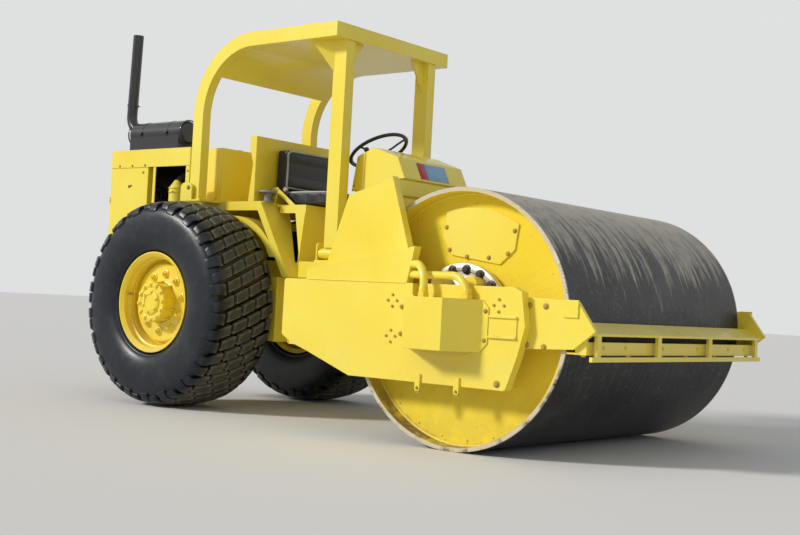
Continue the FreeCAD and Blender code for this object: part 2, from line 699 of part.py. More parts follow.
def drum():
    """Steel shell with recessed heads and bolted access covers."""
    inner = D.drum_radius - D.drum_wall
    head_back = head_face - D.drum_head
    shell = turned("drum_shell", "y", [
        (-drum_edge, D.drum_radius),
        (drum_edge, D.drum_radius),
        (drum_edge, inner),
        (head_face, inner),
        (head_face, D.drum_bore_radius),
        (head_back, D.drum_bore_radius),
        (head_back, inner),
        (-head_back, inner),
        (-head_back, D.drum_bore_radius),
        (-head_face, D.drum_bore_radius),
        (-head_face, inner),
        (-drum_edge, inner),
    ])
    place(shell, D.pivot_to_drum, ZERO, D.drum_radius)
    node("drum_shell", shell)
    blank = prism("hatch_blank", "XZ", [
        (-D.hatch_half_inner, D.hatch_inner),
        (-D.hatch_half_outer, D.hatch_shoulder),
        (-D.hatch_half_outer, D.hatch_outer),
        (D.hatch_half_outer, D.hatch_outer),
        (D.hatch_half_outer, D.hatch_shoulder),
        (D.hatch_half_inner, D.hatch_inner),
    ], -(head_face + D.hatch_thick), -head_face)
    upright = FreeCAD.Rotation(FreeCAD.Vector(0, 1, 0), D.hatch_turn.number)
    blank.Placement = FreeCAD.Placement(FreeCAD.Vector(), upright)
    place(blank, D.pivot_to_drum, -head_face, D.drum_radius)
    disc = rod("hatch_disc", "y", D.hatch_outer, -(head_face + D.hatch_thick), -head_face,
               x=D.pivot_to_drum, z=D.drum_radius)
    pair("drum_hatches", common("drum_hatch_right", [blank, disc]))


def drum_carriers():
    """Discs on rubber mounts that hold the drum's ends, each with its spindle."""
    outer = drum_edge - D.carrier_inset
    inner = outer - D.carrier_thick
    disc = rod("carrier_disc", "y", D.carrier_radius, -outer, -inner,
               x=D.pivot_to_drum, z=D.drum_radius)
    spindle = rod("carrier_spindle", "y", D.drum_bore_radius - D.fit_gap,
                  -inner, -(inner - D.spindle_length), x=D.pivot_to_drum, z=D.drum_radius)
    mount = rod("carrier_mount", "y", D.isolator_radius, -plate_inner, -outer,
                x=D.pivot_to_drum + D.isolator_circle, z=D.drum_radius)
    mounts = [mount]
    for number in range(1, int(D.isolator_count.number)):
        turn = number * 360.0 / D.isolator_count.number
        copy = rod("carrier_mount%d" % number, "y", D.isolator_radius, -plate_inner, -outer,
                   x=D.pivot_to_drum + D.isolator_circle * cosine(turn),
                   z=D.drum_radius + D.isolator_circle * sine(turn))
        mounts.append(copy)
    carrier = fuse("carrier_right", [disc, spindle] + mounts)
    pair("drum_carriers", carrier)


def cosine(degrees):
    return round(FreeCAD.Vector(1, 0, 0).dot(turned_vector(degrees)), 9)


def sine(degrees):
    return round(FreeCAD.Vector(0, 0, 1).dot(turned_vector(degrees)), 9)


def turned_vector(degrees):
    """A unit vector turned from +X towards +Z."""
    return FreeCAD.Rotation(FreeCAD.Vector(0, -1, 0), degrees).multVec(FreeCAD.Vector(1, 0, 0))


def side_plates():
    """Thick outer plates of the front frame, with the hose notch."""
    outline = [
        (behind(D.plate_tail), D.tail_bottom),
        (behind(D.plate_tail), D.plate_top),
        (behind(D.notch_rear), D.plate_top),
        (behind(D.notch_rear), D.plate_top - D.notch_depth),
        (behind(D.notch_front), D.plate_top - D.notch_depth),
        (behind(D.notch_front), D.plate_top),
        (ahead(D.nose_top), D.plate_top),
        (ahead(D.nose_shoulder_x), D.nose_shoulder_height),
        (ahead(D.nose_tip), D.nose_tip_height),
        (ahead(D.nose_chin_x), D.nose_chin_height),
        (ahead(D.nose_foot), D.plate_bottom),
        (behind(D.flat_start), D.plate_bottom),
        (behind(D.sweep_x), D.sweep_height),
        (behind(D.tail_step_x), D.tail_step_height),
    ]
    rounds = {0: D.corner_round, 1: D.corner_round, 3: D.corner_round, 4: D.corner_round,
              10: D.corner_round}
    plate = prism("side_plate_blank", "XZ", outline, -D.frame_outer, -plate_inner, rounds)
    pieces = [plate, box("plate_pad", (ahead(D.pad_rear), ahead(D.pad_front)),
                         (-(D.frame_outer + D.pad_proud), -D.frame_outer), (D.pad_bottom, D.pad_top))]
    for name, low in (("lower", D.pad_bottom), ("upper", D.pad_top - D.pad_rib)):
        pieces.append(box("plate_rib_" + name, (ahead(D.pad_rear), ahead(D.pad_front)),
                          (-(D.frame_outer + D.pad_rib_proud), -D.frame_outer), (low, low + D.pad_rib)))
    for name, middle in (("rear", behind(D.hook_rear)), ("front", ahead(D.hook_front))):
        foot = D.plate_bottom - D.hook_drop
        pieces.append(prism("hook_" + name, "XZ", [
            (middle - D.hook_half, foot),
            (middle + D.hook_half, foot),
            (middle + D.hook_half, D.plate_bottom + D.hook_drop),
            (middle - D.hook_half, D.plate_bottom + D.hook_drop),
        ], -(D.frame_outer + D.pad_rib), -D.frame_outer, {0: D.hook_half * 0.9, 1: D.hook_half * 0.9},
            circles=[(middle, foot + D.hook_half, D.hook_hole)]))
    pair("side_plates", fuse("side_plate_right", pieces))


def side_rails():
    """Tapered box rails on top of the side plates."""
    outline = [
        (behind(D.rail_tail), D.plate_top),
        (behind(D.rail_tail), D.rail_tail_height),
        (behind(D.rail_rise_x), D.rail_rise_height),
        (behind(D.rail_front), D.rail_front_height),
        (behind(D.rail_foot), D.plate_top),
    ]
    rail = prism("side_rail_right", "XZ", outline, -D.frame_outer, -(D.frame_outer - D.rail_width),
                 {1: D.corner_round})
    pair("side_rails", rail)
    return rail


def hoses(rail):
    """Two hoses a side, from the rail's open end down into the motor cover."""
    start_y = D.hose_inset.number - D.frame_outer.number
    radius = D.hose_radius.number
    bend = D.hose_bend.number
    down = FreeCAD.Vector(0, 0, -1)
    # Columns: name, height where it leaves the rail, then where it enters the cover's top
    routes = (("drain", 1050, 1410, 1230), ("feed", 990, 1690, 1200))
    pieces = []
    for name, height, end_x, end_y in routes:
        start = FreeCAD.Vector(behind(D.hose_start).number, start_y, height)
        run = FreeCAD.Vector(end_x, -end_y, height) - start
        heading = FreeCAD.Vector(run).normalize()
        aside = heading.cross(down)
        corners = [start + aside * (radius * cosine(turn)) + down * (radius * sine(turn))
                   for turn in range(0, 361, 45)]
        section = Part.Face(Part.makePolygon(corners))
        straight = heading * (run.Length - bend)
        level = section.extrude(straight)
        section.translate(straight)
        centre = start + straight + down * bend
        elbow = section.revolve(centre, aside, 90)
        section.rotate(centre, aside, 90)
        tail = section.extrude(down * (height - bend - D.cover_top.number))
        hose = doc.addObject("Part::Feature", "hose_" + name)
        hose.Shape = level.fuse([elbow, tail]).removeSplitter()
        pieces.append(cut("hose_flush_" + name, hose, rail))
    return pieces


def rail_height(x):
    """Top of the rail at a place behind the drum axle, on its front slope."""
    run = D.rail_rise_x - D.rail_front
    rise = D.rail_front_height - D.rail_rise_height
    return D.rail_rise_height + (D.rail_rise_x - x) * rise / run


def rail_tail_top(x):
    """Top of the rail on its shallow rear slope."""
    run = D.rail_tail - D.rail_rise_x
    rise = D.rail_rise_height - D.rail_tail_height
    return D.rail_tail_height + (D.rail_tail - x) * rise / run


def guard():
    """End panels standing on the rails and the beam across the back of the drum."""
    crest = D.drum_radius * 2 + D.guard_rise
    outline = [
        (behind(D.guard_rear_foot), rail_tail_top(D.guard_rear_foot)),
        (behind(D.guard_rear_top_x), crest - D.guard_fall),
        (behind(D.guard_front_top_x), crest),
        (behind(D.guard_front_foot), rail_height(D.guard_front_foot)),
        (behind(D.rail_rise_x), D.rail_rise_height),
    ]
    inner = D.guard_out - D.guard_sheet
    panel = prism("guard_sheet_right", "XZ", outline, -D.guard_out, -inner)
    top = [
        (behind(D.guard_front_top_x), crest),
        (behind(D.guard_front_foot), rail_height(D.guard_front_foot)),
        (behind(D.guard_front_foot) - D.guard_sheet, rail_height(D.guard_front_foot + D.guard_sheet)),
        (behind(D.guard_front_top_x) - D.guard_sheet, crest),
    ]
    flange = prism("guard_flange_right", "XZ", top, -(D.guard_out + D.guard_flange), -inner)
    pair("guard_panels", fuse("guard_panel_right", [panel, flange]))
    beam_top = crest - D.beam_drop
    front = behind(D.guard_front_top_x) - D.guard_sheet
    beam = box("guard_beam", (front - D.beam_depth, front), (-inner, inner),
               (beam_top - D.beam_height, beam_top))
    node("guard_beam", beam)


def arms():
    """Plates that carry the front bar past the drum."""
    outline = [
        (ahead(D.arm_root), D.arm_root_bottom),
        (ahead(D.arm_root), D.arm_root_top),
        (ahead(D.arm_top_x), D.arm_top),
        (ahead(D.arm_tip), D.arm_tip_height),
        (ahead(D.arm_chin_x), D.arm_chin),
    ]
    arm = prism("arm_right", "XZ", outline, -plate_inner, -(plate_inner - D.arm_thick),
                {0: D.corner_round, 1: D.corner_round})
    tab = box("arm_tab", (ahead(D.tab_rear), ahead(D.tab_front)),
              (-(plate_inner + D.tab_thick), -plate_inner), (D.tab_bottom, D.tab_top))
    pair("front_arms", fuse("arm_whole", [arm, tab]))


def crossbox():
    """Box beam between the side plates, bored for the roll spigot."""
    ring_rear = roll_ring_rear()
    block = box("crossbox_block", (behind(D.crossbox_rear), behind(D.crossbox_front)),
                (-plate_inner, plate_inner), (D.crossbox_bottom, D.crossbox_top))
    ring = rod("crossbox_ring", "x", D.roll_ring_radius, ring_rear, behind(D.crossbox_rear),
               z=rod_line)
    bore = rod("crossbox_bore", "x", D.roll_pin_radius + D.fit_gap, ring_rear,
               behind(D.crossbox_front), z=rod_line)
    node("crossbox", cut("crossbox", fuse("crossbox_body", [block, ring]), bore))


def roll_ring_rear():
    return D.yoke_beam_front + D.roll_flange_thick + D.roll_gap


def yoke():
    """Hub on the steering pin, cross beam with cylinder lugs, and the roll spigot."""
    hub = rod("yoke_hub", "z", D.yoke_hub_radius, rod_line - D.yoke_half_height,
              rod_line + D.yoke_half_height)
    web = box("yoke_web", (ZERO, D.yoke_beam_front), (-D.yoke_hub_radius / 2, D.yoke_hub_radius / 2),
              (rod_line - D.yoke_half_height * 0.8, rod_line + D.yoke_half_height * 0.8))
    beam = box("yoke_beam", (D.yoke_beam_rear, D.yoke_beam_front),
               (-D.yoke_beam_half, D.yoke_beam_half),
               (rod_line - D.yoke_beam_half_height, rod_line + D.yoke_beam_half_height))
    flange = rod("yoke_flange", "x", D.roll_flange_radius, D.yoke_beam_front,
                 D.yoke_beam_front + D.roll_flange_thick, z=rod_line)
    spigot = rod("yoke_spigot", "x", D.roll_pin_radius, D.yoke_beam_front + D.roll_flange_thick,
                 D.yoke_beam_front + D.roll_flange_thick + D.roll_pin_length, z=rod_line)
    parts = [hub, web, beam, flange, spigot]
    offset = D.eye_half + D.lug_gap
    for side, sign in (("right", -1), ("left", 1)):
        for level, lift in (("lower", -1), ("upper", 1)):
            near = rod_line + offset * lift
            far = rod_line + (offset + D.lug_thick) * lift
            low, high = (near, far) if lift > 0 else (far, near)
            name = "yoke_lug_%s_%s" % (side, level)
            disc = rod(name, "z", D.lug_radius, low, high, x=D.cylinder_eye_x,
                       y=D.cylinder_eye_y * sign)
            inner = D.yoke_beam_half - D.lug_thick
            span = (inner, D.cylinder_eye_y) if sign > 0 else (-D.cylinder_eye_y, -inner)
            arm = box(name + "_arm", (D.cylinder_eye_x - D.lug_radius, D.cylinder_eye_x + D.lug_radius),
                      span, (low, high))
            parts += [disc, arm]
    bore = rod("yoke_bore", "z", D.pivot_pin_radius + D.fit_gap, rod_line - D.yoke_half_height,
               rod_line + D.yoke_half_height)
    node("hitch_yoke", cut("hitch_yoke", fuse("yoke_body", parts), bore))


def front_bar():
    """Sloping lip plate over four posts and a lower rail, between the arms."""
    half = plate_inner - D.arm_thick
    sheet_height = D.bar_sheet
    lip = prism("bar_lip", "XZ", [
        (ahead(D.bar_rear), D.bar_top),
        (ahead(D.bar_front), D.bar_lip),
        (ahead(D.bar_front), D.bar_lip - sheet_height),
        (ahead(D.bar_rear), D.bar_top - sheet_height),
    ], -half, half)
    posts = []
    for sign in (-1, 1):
        for place_name, spot in (("outer", D.post_outer), ("inner", D.post_inner)):
            middle = spot * sign
            posts.append(box("bar_post_%s_%d" % (place_name, sign + 1),
                             (ahead(D.bar_front) - D.post_depth, ahead(D.bar_front)),
                             (middle - D.post_width / 2, middle + D.post_width / 2),
                             (D.lower_rail_bottom, D.bar_lip - sheet_height / 2)))
    rail = box("bar_rail", (ahead(D.bar_front) - D.post_depth, ahead(D.bar_front)), (-half, half),
               (D.lower_rail_bottom, D.lower_rail_bottom + D.lower_rail_height))
    node("front_bar", fuse("front_bar", [lip, rail] + posts))


def scraper():
    """Angle that keeps the drum clean, bolted between the arms."""
    half = plate_inner - D.arm_thick
    blade_top = D.scraper_height + D.scraper_thick
    angle = prism("scraper_angle", "XZ", [
        (ahead(D.scraper_reach), D.scraper_height),
        (ahead(D.scraper_front), D.scraper_height),
        (ahead(D.scraper_front), D.scraper_height + D.scraper_leg),
        (ahead(D.scraper_front) - D.scraper_thick, D.scraper_height + D.scraper_leg),
        (ahead(D.scraper_front) - D.scraper_thick, blade_top),
        (ahead(D.scraper_reach), blade_top),
    ], -half, half)
    tabs = []
    for side, sign in (("right", -1), ("left", 1)):
        near = half * sign
        far = (half - D.scraper_thick) * sign
        low, high = (far, near) if sign > 0 else (near, far)
        tabs.append(box("scraper_tab_" + side, (ahead(D.scraper_front) - D.scraper_tab,
                                                ahead(D.scraper_front)),
                        (low, high), (D.scraper_height, D.scraper_tab_top)))
    node("scraper", fuse("scraper", [angle] + tabs))


def motor_covers(rail):
    """Folded sheet covers over the drum motors, open below, on their base plates."""
    foot = D.frame_outer + D.cover_base
    face = D.frame_outer + D.cover_depth

    def plan(inset):
        return [
            (behind(D.cover_half) + inset * 1.2, -foot),
            (behind(D.cover_rear) + inset * 0.5, -(face - inset)),
            (ahead(D.cover_flat_front) - inset * 0.5, -(face - inset)),
            (ahead(D.cover_half) - inset * 1.2, -foot),
        ]
    outer = prism("cover_outside", "XY", plan(ZERO), D.cover_bottom, D.cover_top)
    inner = prism("cover_inside", "XY", plan(D.cover_sheet), D.cover_bottom, D.cover_top - D.cover_sheet)
    half = [
        (D.cover_half, D.cover_top),
        (D.base_half, D.base_shoulder),
        (D.base_half, D.base_waist),
        (D.base_chin_half, D.cover_bottom),
        (D.base_keel_half, D.base_keel),
    ]
    outline = [(ahead(x), z) for x, z in half] + [(behind(x), z) for x, z in reversed(half)]
    base = prism("cover_base", "XZ", outline, -foot, -D.frame_outer)
    pair("motor_covers", fuse("cover_right", [cut("cover_shell", outer, inner), base] + hoses(rail)))
    motor = rod("motor_right", "y", D.motor_radius, -(D.frame_outer + D.motor_length), -foot,
                x=D.pivot_to_drum, z=D.drum_radius)
    pair("drum_motors", motor)


def chassis():
    """Side members, front plate with pivot ears, and tail plate with tow jaw."""
    outline = [
        (-D.frame_front, D.frame_front_bottom),
        (-D.frame_front, D.frame_top_front),
        (-D.frame_top_step, D.frame_top_front),
        (-D.frame_rise_end, D.hood_base),
        (-D.frame_rear, D.hood_base),
        (-D.frame_rear, D.frame_tail_bottom),
        (-D.frame_belly_x, D.frame_belly),
    ]
    inner = D.frame_half - D.member_thick
    seat = (-D.pivot_to_axle, D.tyre_radius, D.axle_tube_radius + D.fit_gap)
    member = prism("member_right", "XZ", outline, -D.frame_half, -inner, circles=[seat])
    pair("chassis_members", member)
    plate = box("chassis_plate", (-D.frame_front - D.bulkhead_thick, -D.frame_front),
                (-inner, inner), (D.frame_front_bottom, D.frame_top_front))
    parts = [plate]
    root_x = -D.frame_front
    for level, lift in (("lower", -1), ("upper", 1)):
        near = rod_line + (D.yoke_half_height + D.ear_gap) * lift
        far = rod_line + (D.yoke_half_height + D.ear_gap + D.ear_thick) * lift
        low, high = (near, far) if lift > 0 else (far, near)
        ear = prism("ear_" + level, "XY", [
            (root_x, -D.ear_root_half),
            (-D.ear_reach / 2, -D.ear_reach),
            (-D.ear_reach / 2, D.ear_reach),
            (root_x, D.ear_root_half),
        ], low, high)
        nose = rod("ear_nose_" + level, "z", D.ear_reach, low, high)
        parts += [ear, nose]
        for side, sign in (("right", -1), ("left", 1)):
            near_lug = rod_line + (D.eye_half + D.lug_gap) * lift
            far_lug = rod_line + (D.eye_half + D.lug_gap + D.lug_thick) * lift
            low_lug, high_lug = (near_lug, far_lug) if lift > 0 else (far_lug, near_lug)
            name = "base_lug_%s_%s" % (side, level)
            disc = rod(name, "z", D.lug_radius, low_lug, high_lug, x=-D.cylinder_base_x,
                       y=D.cylinder_base_y * sign)
            middle = D.cylinder_base_y * sign
            root = box(name + "_root", (root_x, -D.cylinder_base_x),
                       (middle - D.lug_radius, middle + D.lug_radius), (low_lug, high_lug))
            parts += [disc, root]
    pin = rod("pivot_pin", "z", D.pivot_pin_radius,
              rod_line - D.yoke_half_height - D.ear_gap - D.ear_thick,
              rod_line + D.yoke_half_height + D.ear_gap + D.ear_thick)
    parts.append(pin)
    for side, sign in (("right", -1), ("left", 1)):
        reach = D.eye_half + D.lug_gap
        parts.append(rod("base_pin_" + side, "z", D.eye_pin_radius, rod_line - reach, rod_line + reach,
                         x=-D.cylinder_base_x, y=D.cylinder_base_y * sign))
    node("pivot_bracket", fuse("pivot_bracket", parts))
    tail = box("tail_sheet", (-D.frame_rear, -D.frame_rear + D.bulkhead_thick), (-inner, inner),
               (D.frame_tail_bottom, D.hood_base))
    jaw = []
    for level, lift in (("lower", -1), ("upper", 1)):
        near = D.hitch_height + D.hitch_gap / 2 * lift
        far = D.hitch_height + (D.hitch_gap / 2 + D.hitch_plate) * lift
        low, high = (near, far) if lift > 0 else (far, near)
        jaw.append(box("jaw_" + level, (-D.frame_rear - D.hitch_length, -D.frame_rear),
                       (-D.hitch_half, D.hitch_half), (low, high)))
    hole = rod("jaw_hole", "z", D.tow_pin_radius, D.hitch_height - D.hitch_gap,
               D.hitch_height + D.hitch_gap, x=-D.frame_rear - D.hitch_length + D.hitch_eye)
    node("tail_plate", cut("tail_jaw", fuse("tail_body", [tail] + jaw), hole))


def axle():
    """Rear axle beam with its differential and planet housings."""
    half_bulge = D.differential_half
    nose_end = D.tyre_middle + D.disc_offset - D.disc_thick - D.axle_nose_gap
    right = [
        (-nose_end, D.axle_nose_radius),
        (-D.axle_end_outer, D.axle_nose_radius),
        (-D.axle_end_outer, D.axle_end_radius),
        (-D.axle_end_inner, D.axle_end_radius),
        (-D.axle_end_inner, D.axle_tube_radius),
        (-half_bulge, D.axle_tube_radius),
        (-half_bulge / 2, D.differential_radius),
    ]
    left = [(-along, radius) for along, radius in reversed(right)]
    bore = D.stub_radius + D.fit_gap
    bore_end = D.tyre_middle + D.disc_offset - D.disc_thick - D.stub_length - D.axle_nose_gap
    profile = right + left + [
        (nose_end, bore),
        (bore_end, bore),
        (bore_end, ZERO),
        (-bore_end, ZERO),
        (-bore_end, bore),
        (-nose_end, bore),
    ]
    beam = turned("rear_axle", "y", profile)
    place(beam, axle_x, ZERO, D.tyre_radius)
    node("rear_axle", beam)


def tyre(side, sign):
    """Tyre with staggered tread blocks, all of flat facets."""
    steps = int(D.tread_pitches.number) * 2
    step = 360.0 / steps
    flat = 1 / cosine(step / 2)
    bead = D.rim_half_width.number - D.rim_wall.number - D.fit_gap.number
    floor = D.tyre_radius.number - D.tread_depth.number
    drop = D.crown_drop.number
    groove = D.tread_groove.number / 2
    edge = D.row_edge.number
    tread = D.tread_half_width.number
    shoulder = (D.shoulder_half.number, D.shoulder_radius.number)
    sidewall = [
        (bead, D.bead_radius.number * flat),
        (bead, (D.rim_flange_radius.number + D.fit_gap.number) * flat),
        (D.tyre_half_width.number, D.belly_radius.number),
        shoulder,
    ]

    def crown(across, rise):
        """A place across the tread, this far above the groove's floor."""
        outside = max(0.0, (abs(across) - edge) / (tread - edge))
        return (across, floor + rise - drop * outside)

    def spot(place_across, turn):
        across, radius = place_across
        return FreeCAD.Vector(radius * cosine(turn), across, radius * sine(turn))

    def band(near, far, turn):
        return facet([spot(near, turn), spot(far, turn), spot(far, turn + step), spot(near, turn + step)])

    def facet(corners):
        return Part.Face(Part.makePolygon(corners + corners[:1]))

    faces = []
    height = D.tread_depth.number
    for number in range(steps):
        turn = number * step
        ends = (turn, turn + step)
        faces.append(band((-bead, sidewall[0][1]), sidewall[0], turn))
        for side_sign in (-1, 1):
            wall = [(side_sign * across, radius) for across, radius in sidewall]
            for near, far in zip(wall, wall[1:]):
                faces.append(band(near, far, turn))
            for row, (inner, outer) in enumerate(((0.0, edge), (edge, tread))):
                last = row == 1
                near, far = inner + groove, (outer if last else outer - groove)
                marks = [crown(side_sign * across, 0) for across in (inner, near, far, outer)]
                if last:
                    marks.pop()
                raised = (number + row + (side_sign > 0)) % 2 == 0
                if not raised:
                    across_way = [spot(mark, turn) for mark in marks]
                    back_way = [spot(mark, turn + step) for mark in reversed(marks)]
                    faces.append(facet(across_way + back_way))
                    if last:
                        faces.append(band(marks[-1], wall[-1], turn))
                    continue
                tops = [crown(side_sign * across, height) for across in (near, far)]
                faces.append(band(marks[0], marks[1], turn))
                faces.append(band(marks[1], tops[0], turn))
                faces.append(band(tops[0], tops[1], turn))
                outside = [marks[1], tops[0], tops[1]]
                if last:
                    faces.append(band(tops[1], wall[-1], turn))
                    outside += [wall[-1], marks[-1]]
                else:
                    faces.append(band(tops[1], marks[2], turn))
                    faces.append(band(marks[2], marks[3], turn))
                    outside.append(marks[2])
                for end in ends:
                    faces.append(facet([spot(mark, end) for mark in outside]))
    shell = Part.makeShell(faces)
    shell.sewShape()
    piece = doc.addObject("Part::Feature", "tyre_" + side)
    piece.Shape = Part.makeSolid(shell)
    place(piece, axle_x, D.tyre_middle * sign, D.tyre_radius)
    node("tyre_" + side, piece)


def rim(side, sign):
    """Deep-dished rim with its planetary hub."""
    bead_inner = D.rim_half_width - D.rim_wall - D.fit_gap - D.rubber_thick
    seat = D.bead_radius - D.fit_gap
    flange = D.rim_half_width
    wall = D.rim_wall
    well = D.rim_well_radius
    toe = bead_inner - D.rubber_thick
    disc_out = D.disc_offset
    disc_in = disc_out - D.disc_thick
    hub_end = disc_out + D.hub_length
    cap_end = hub_end + D.hub_cap_length
    # Written with the outer side positive, then placed on its own side
    profile = [
        (flange, seat - wall),
        (flange, D.rim_flange_radius),
        (flange - wall, D.rim_flange_radius),
        (flange - wall, seat),
        (toe, seat),
        (toe - wall * 2, well),
        (-(toe - wall * 2), well),
        (-toe, seat),
        (-(flange - wall), seat),
        (-(flange - wall), D.rim_flange_radius),
        (-flange, D.rim_flange_radius),
        (-flange, seat - wall),
        (-(toe + wall / 2), seat - wall),
        (-(toe - wall * 2), well - wall),
        (disc_in, well - wall),
        (disc_in, D.stub_radius),
        (disc_in - D.stub_length, D.stub_radius),
        (disc_in - D.stub_length, ZERO),
        (cap_end, ZERO),
        (cap_end, D.hub_cap_radius),
        (hub_end, D.hub_cap_radius),
        (hub_end, D.hub_radius),
        (disc_out, D.hub_radius),
        (disc_out, well - wall),
        (toe - wall * 2, well - wall),
        (toe + wall / 2, seat - wall),
    ]
    if sign < 0:
        profile = [(-along, radius) for along, radius in reversed(profile)]
    piece = turned("rim_" + side, "y", profile)
    place(piece, axle_x, D.tyre_middle * sign, D.tyre_radius)
    node("rim_" + side, piece)


def steering_cylinder(side, sign):
    """Barrel and rod lying between the chassis lugs and the yoke lugs."""
    start = FreeCAD.Vector(-D.cylinder_base_x.number, sign * D.cylinder_base_y.number, 0)
    end = FreeCAD.Vector(D.cylinder_eye_x.number, sign * D.cylinder_eye_y.number, 0)
    length = (end - start).Length
    height = rod_line.number
    along = FreeCAD.Vector(1, 0, 0)
    up = FreeCAD.Vector(0, 0, 1)
    barrel_radius = D.barrel_radius.number
    bore = D.rod_radius.number + D.fit_gap.number
    eye_low = up * -D.eye_half.number
    eye_height = 2 * D.eye_half.number
    turn = FreeCAD.Rotation(along, end - start)
    tube_start = D.lug_radius.number + D.barrel_gap.number
    tube = Part.makeCylinder(barrel_radius, D.barrel_end.number - tube_start, along * tube_start, along)
    hollow_start = D.rod_start.number / 3
    hollow = Part.makeCylinder(bore, D.barrel_end.number - hollow_start, along * hollow_start, along)
    base_eye = Part.makeCylinder(D.eye_radius.number, eye_height, eye_low, up)
    base_neck = Part.makeCylinder(D.eye_half.number, tube_start, FreeCAD.Vector(), along)
    pin_hole = Part.makeCylinder(D.eye_pin_radius.number + D.fit_gap.number, eye_height, eye_low, up)
    barrel_shape = tube.fuse(base_eye).fuse(base_neck).cut(hollow).cut(pin_hole).removeSplitter()
    barrel = doc.addObject("Part::Feature", "cylinder_barrel_" + side)
    barrel.Shape = barrel_shape
    barrel.Placement = FreeCAD.Placement(start + up * height, turn)
    node("cylinder_barrel_" + side, barrel)
    shaft = Part.makeCylinder(D.rod_radius.number, length - D.rod_start.number,
                              along * D.rod_start.number, along)
    eye = Part.makeCylinder(D.eye_radius.number, eye_height, eye_low + along * length, up)
    rod_piece = doc.addObject("Part::Feature", "cylinder_rod_" + side)
    rod_piece.Shape = shaft.fuse(eye).removeSplitter()
    rod_piece.Placement = FreeCAD.Placement(start + up * height, turn)
    node("cylinder_rod_" + side, rod_piece)


def platform_and_deck():
    """Operator's floor, upper deck, bulkhead and the legs between them."""
    floor = prism("platform", "XY", [
        (-D.platform_rear, -D.platform_tail_half),
        (-D.platform_step, -D.platform_tail_half),
        (-D.platform_step, -D.platform_half),
        (D.platform_front, -D.platform_half),
        (D.platform_front, -D.toe_half),
        (D.platform_toe, -D.toe_half),
        (D.platform_toe, D.toe_half),
        (D.platform_front, D.toe_half),
        (D.platform_front, D.platform_half),
        (-D.platform_step, D.platform_half),
        (-D.platform_step, D.platform_tail_half),
        (-D.platform_rear, D.platform_tail_half),
    ], D.frame_top_front, D.platform_top)
    node("platform", floor)
    under = D.deck_top - D.deck_sheet
    flange_inner = D.body_half - D.flange_thick
    deck = prism("deck", "YZ", [
        (-D.body_half, D.deck_top - D.deck_flange),
        (-D.body_half, D.deck_top),
        (D.body_half, D.deck_top),
        (D.body_half, D.deck_top - D.deck_flange),
        (flange_inner, D.deck_top - D.deck_flange),
        (flange_inner, under),
        (-flange_inner, under),
        (-flange_inner, D.deck_top - D.deck_flange),
    ], -(D.hood_front - D.firewall_thick), -D.deck_front)
    node("deck", deck)
    rear = -D.bulkhead_front - D.bulkhead_sheet
    wall = box("bulkhead_wall", (rear, -D.bulkhead_front), (-D.body_half, D.body_half),
               (D.deck_top, D.bulkhead_top))
    wing = prism("bulkhead_wing", "XZ", [
        (-D.bulkhead_front, D.deck_top),
        (-D.bulkhead_front, D.bulkhead_top),
        (-D.bulkhead_front - D.wing_depth, D.bulkhead_top),
        (-D.bulkhead_front - D.wing_depth, D.wing_shoulder),
        (-D.bulkhead_front - D.wing_waist_depth, D.wing_waist),
        (-D.bulkhead_front - D.wing_foot_depth, D.deck_top),
    ], -D.body_half, -(D.body_half - D.flange_thick))
    node("bulkhead", fuse("bulkhead", [wall, wing, mirrored("bulkhead_wing_twin", wing)]))
    legs(deck)
    neck = rod("filler_neck", "z", D.neck_radius, D.deck_top, D.cap_bottom, x=-D.cap_x, y=-D.cap_y)
    cap = turned("filler_dome", "z", [
        (D.cap_bottom, ZERO),
        (D.cap_bottom, D.cap_radius),
        (D.cap_bottom + (D.cap_top - D.cap_bottom) / 2, D.cap_radius),
        (D.cap_top, D.cap_radius / 2),
        (D.cap_top, ZERO),
    ])
    place(cap, -D.cap_x, -D.cap_y, ZERO)
    node("filler_cap", fuse("filler_cap", [neck, cap]))


def legs(deck):
    """Sloping legs under the deck's front edge, each running into its wheel arch."""
    under = D.deck_top - D.deck_sheet
    foot = D.frame_top_front
    side = -D.body_half
    slab = prism("leg_slab", "XZ", [
        (-D.leg_top_x, under),
        (-D.leg_foot_x, foot),
        (-D.leg_foot_x - D.leg_sheet, foot),
        (-D.leg_top_x - D.leg_sheet, under),
    ], side, -D.leg_inner_top)
    front_view = prism("leg_front_view", "YZ", [
        (side, foot),
        (side, under),
        (-D.leg_inner_top, under),
        (-D.platform_tail_half, D.platform_top),
        (-D.platform_tail_half, foot),
    ], -D.leg_top_x - D.leg_flange, -D.leg_foot_x)
    sheet = common("leg_sheet", [slab, front_view])
    flange = prism("leg_side", "XZ", [
        (-D.leg_top_x, under),
        (-D.leg_foot_x, foot),
        (-D.leg_foot_x - D.leg_flange, foot),
        (-D.leg_top_x - D.leg_flange, under),
    ], side, side + D.leg_sheet)
    crest = D.arch_height + D.arch_radius
    pieces = [sheet, flange]
    # Columns: name, depth below the arch's outside, inner edge
    for name, depth, inner in (("rim", D.arch_flange, side + D.leg_sheet),
                               ("sheet", D.hood_sheet, -D.arch_inner)):
        outer = rod("arch_outer_" + name, "y", D.arch_radius, side, inner, x=-D.arch_x, z=D.arch_height)
        hollow = rod("arch_hollow_" + name, "y", D.arch_radius - depth, side, inner,
                     x=-D.arch_x, z=D.arch_height)
        quarter = box("arch_quarter_" + name, (-D.arch_x, -D.arch_x + D.arch_radius), (side, inner),
                      (D.arch_foot, crest))
        pieces.append(common("arch_bend_" + name, [cut("arch_ring_" + name, outer, hollow), quarter]))
        pieces.append(box("arch_run_" + name, (-(D.hood_front - D.firewall_thick), -D.arch_x),
                          (side, inner), (crest - depth, crest)))
    pair("deck_legs", cut("leg_right", fuse("leg_whole", pieces), deck))


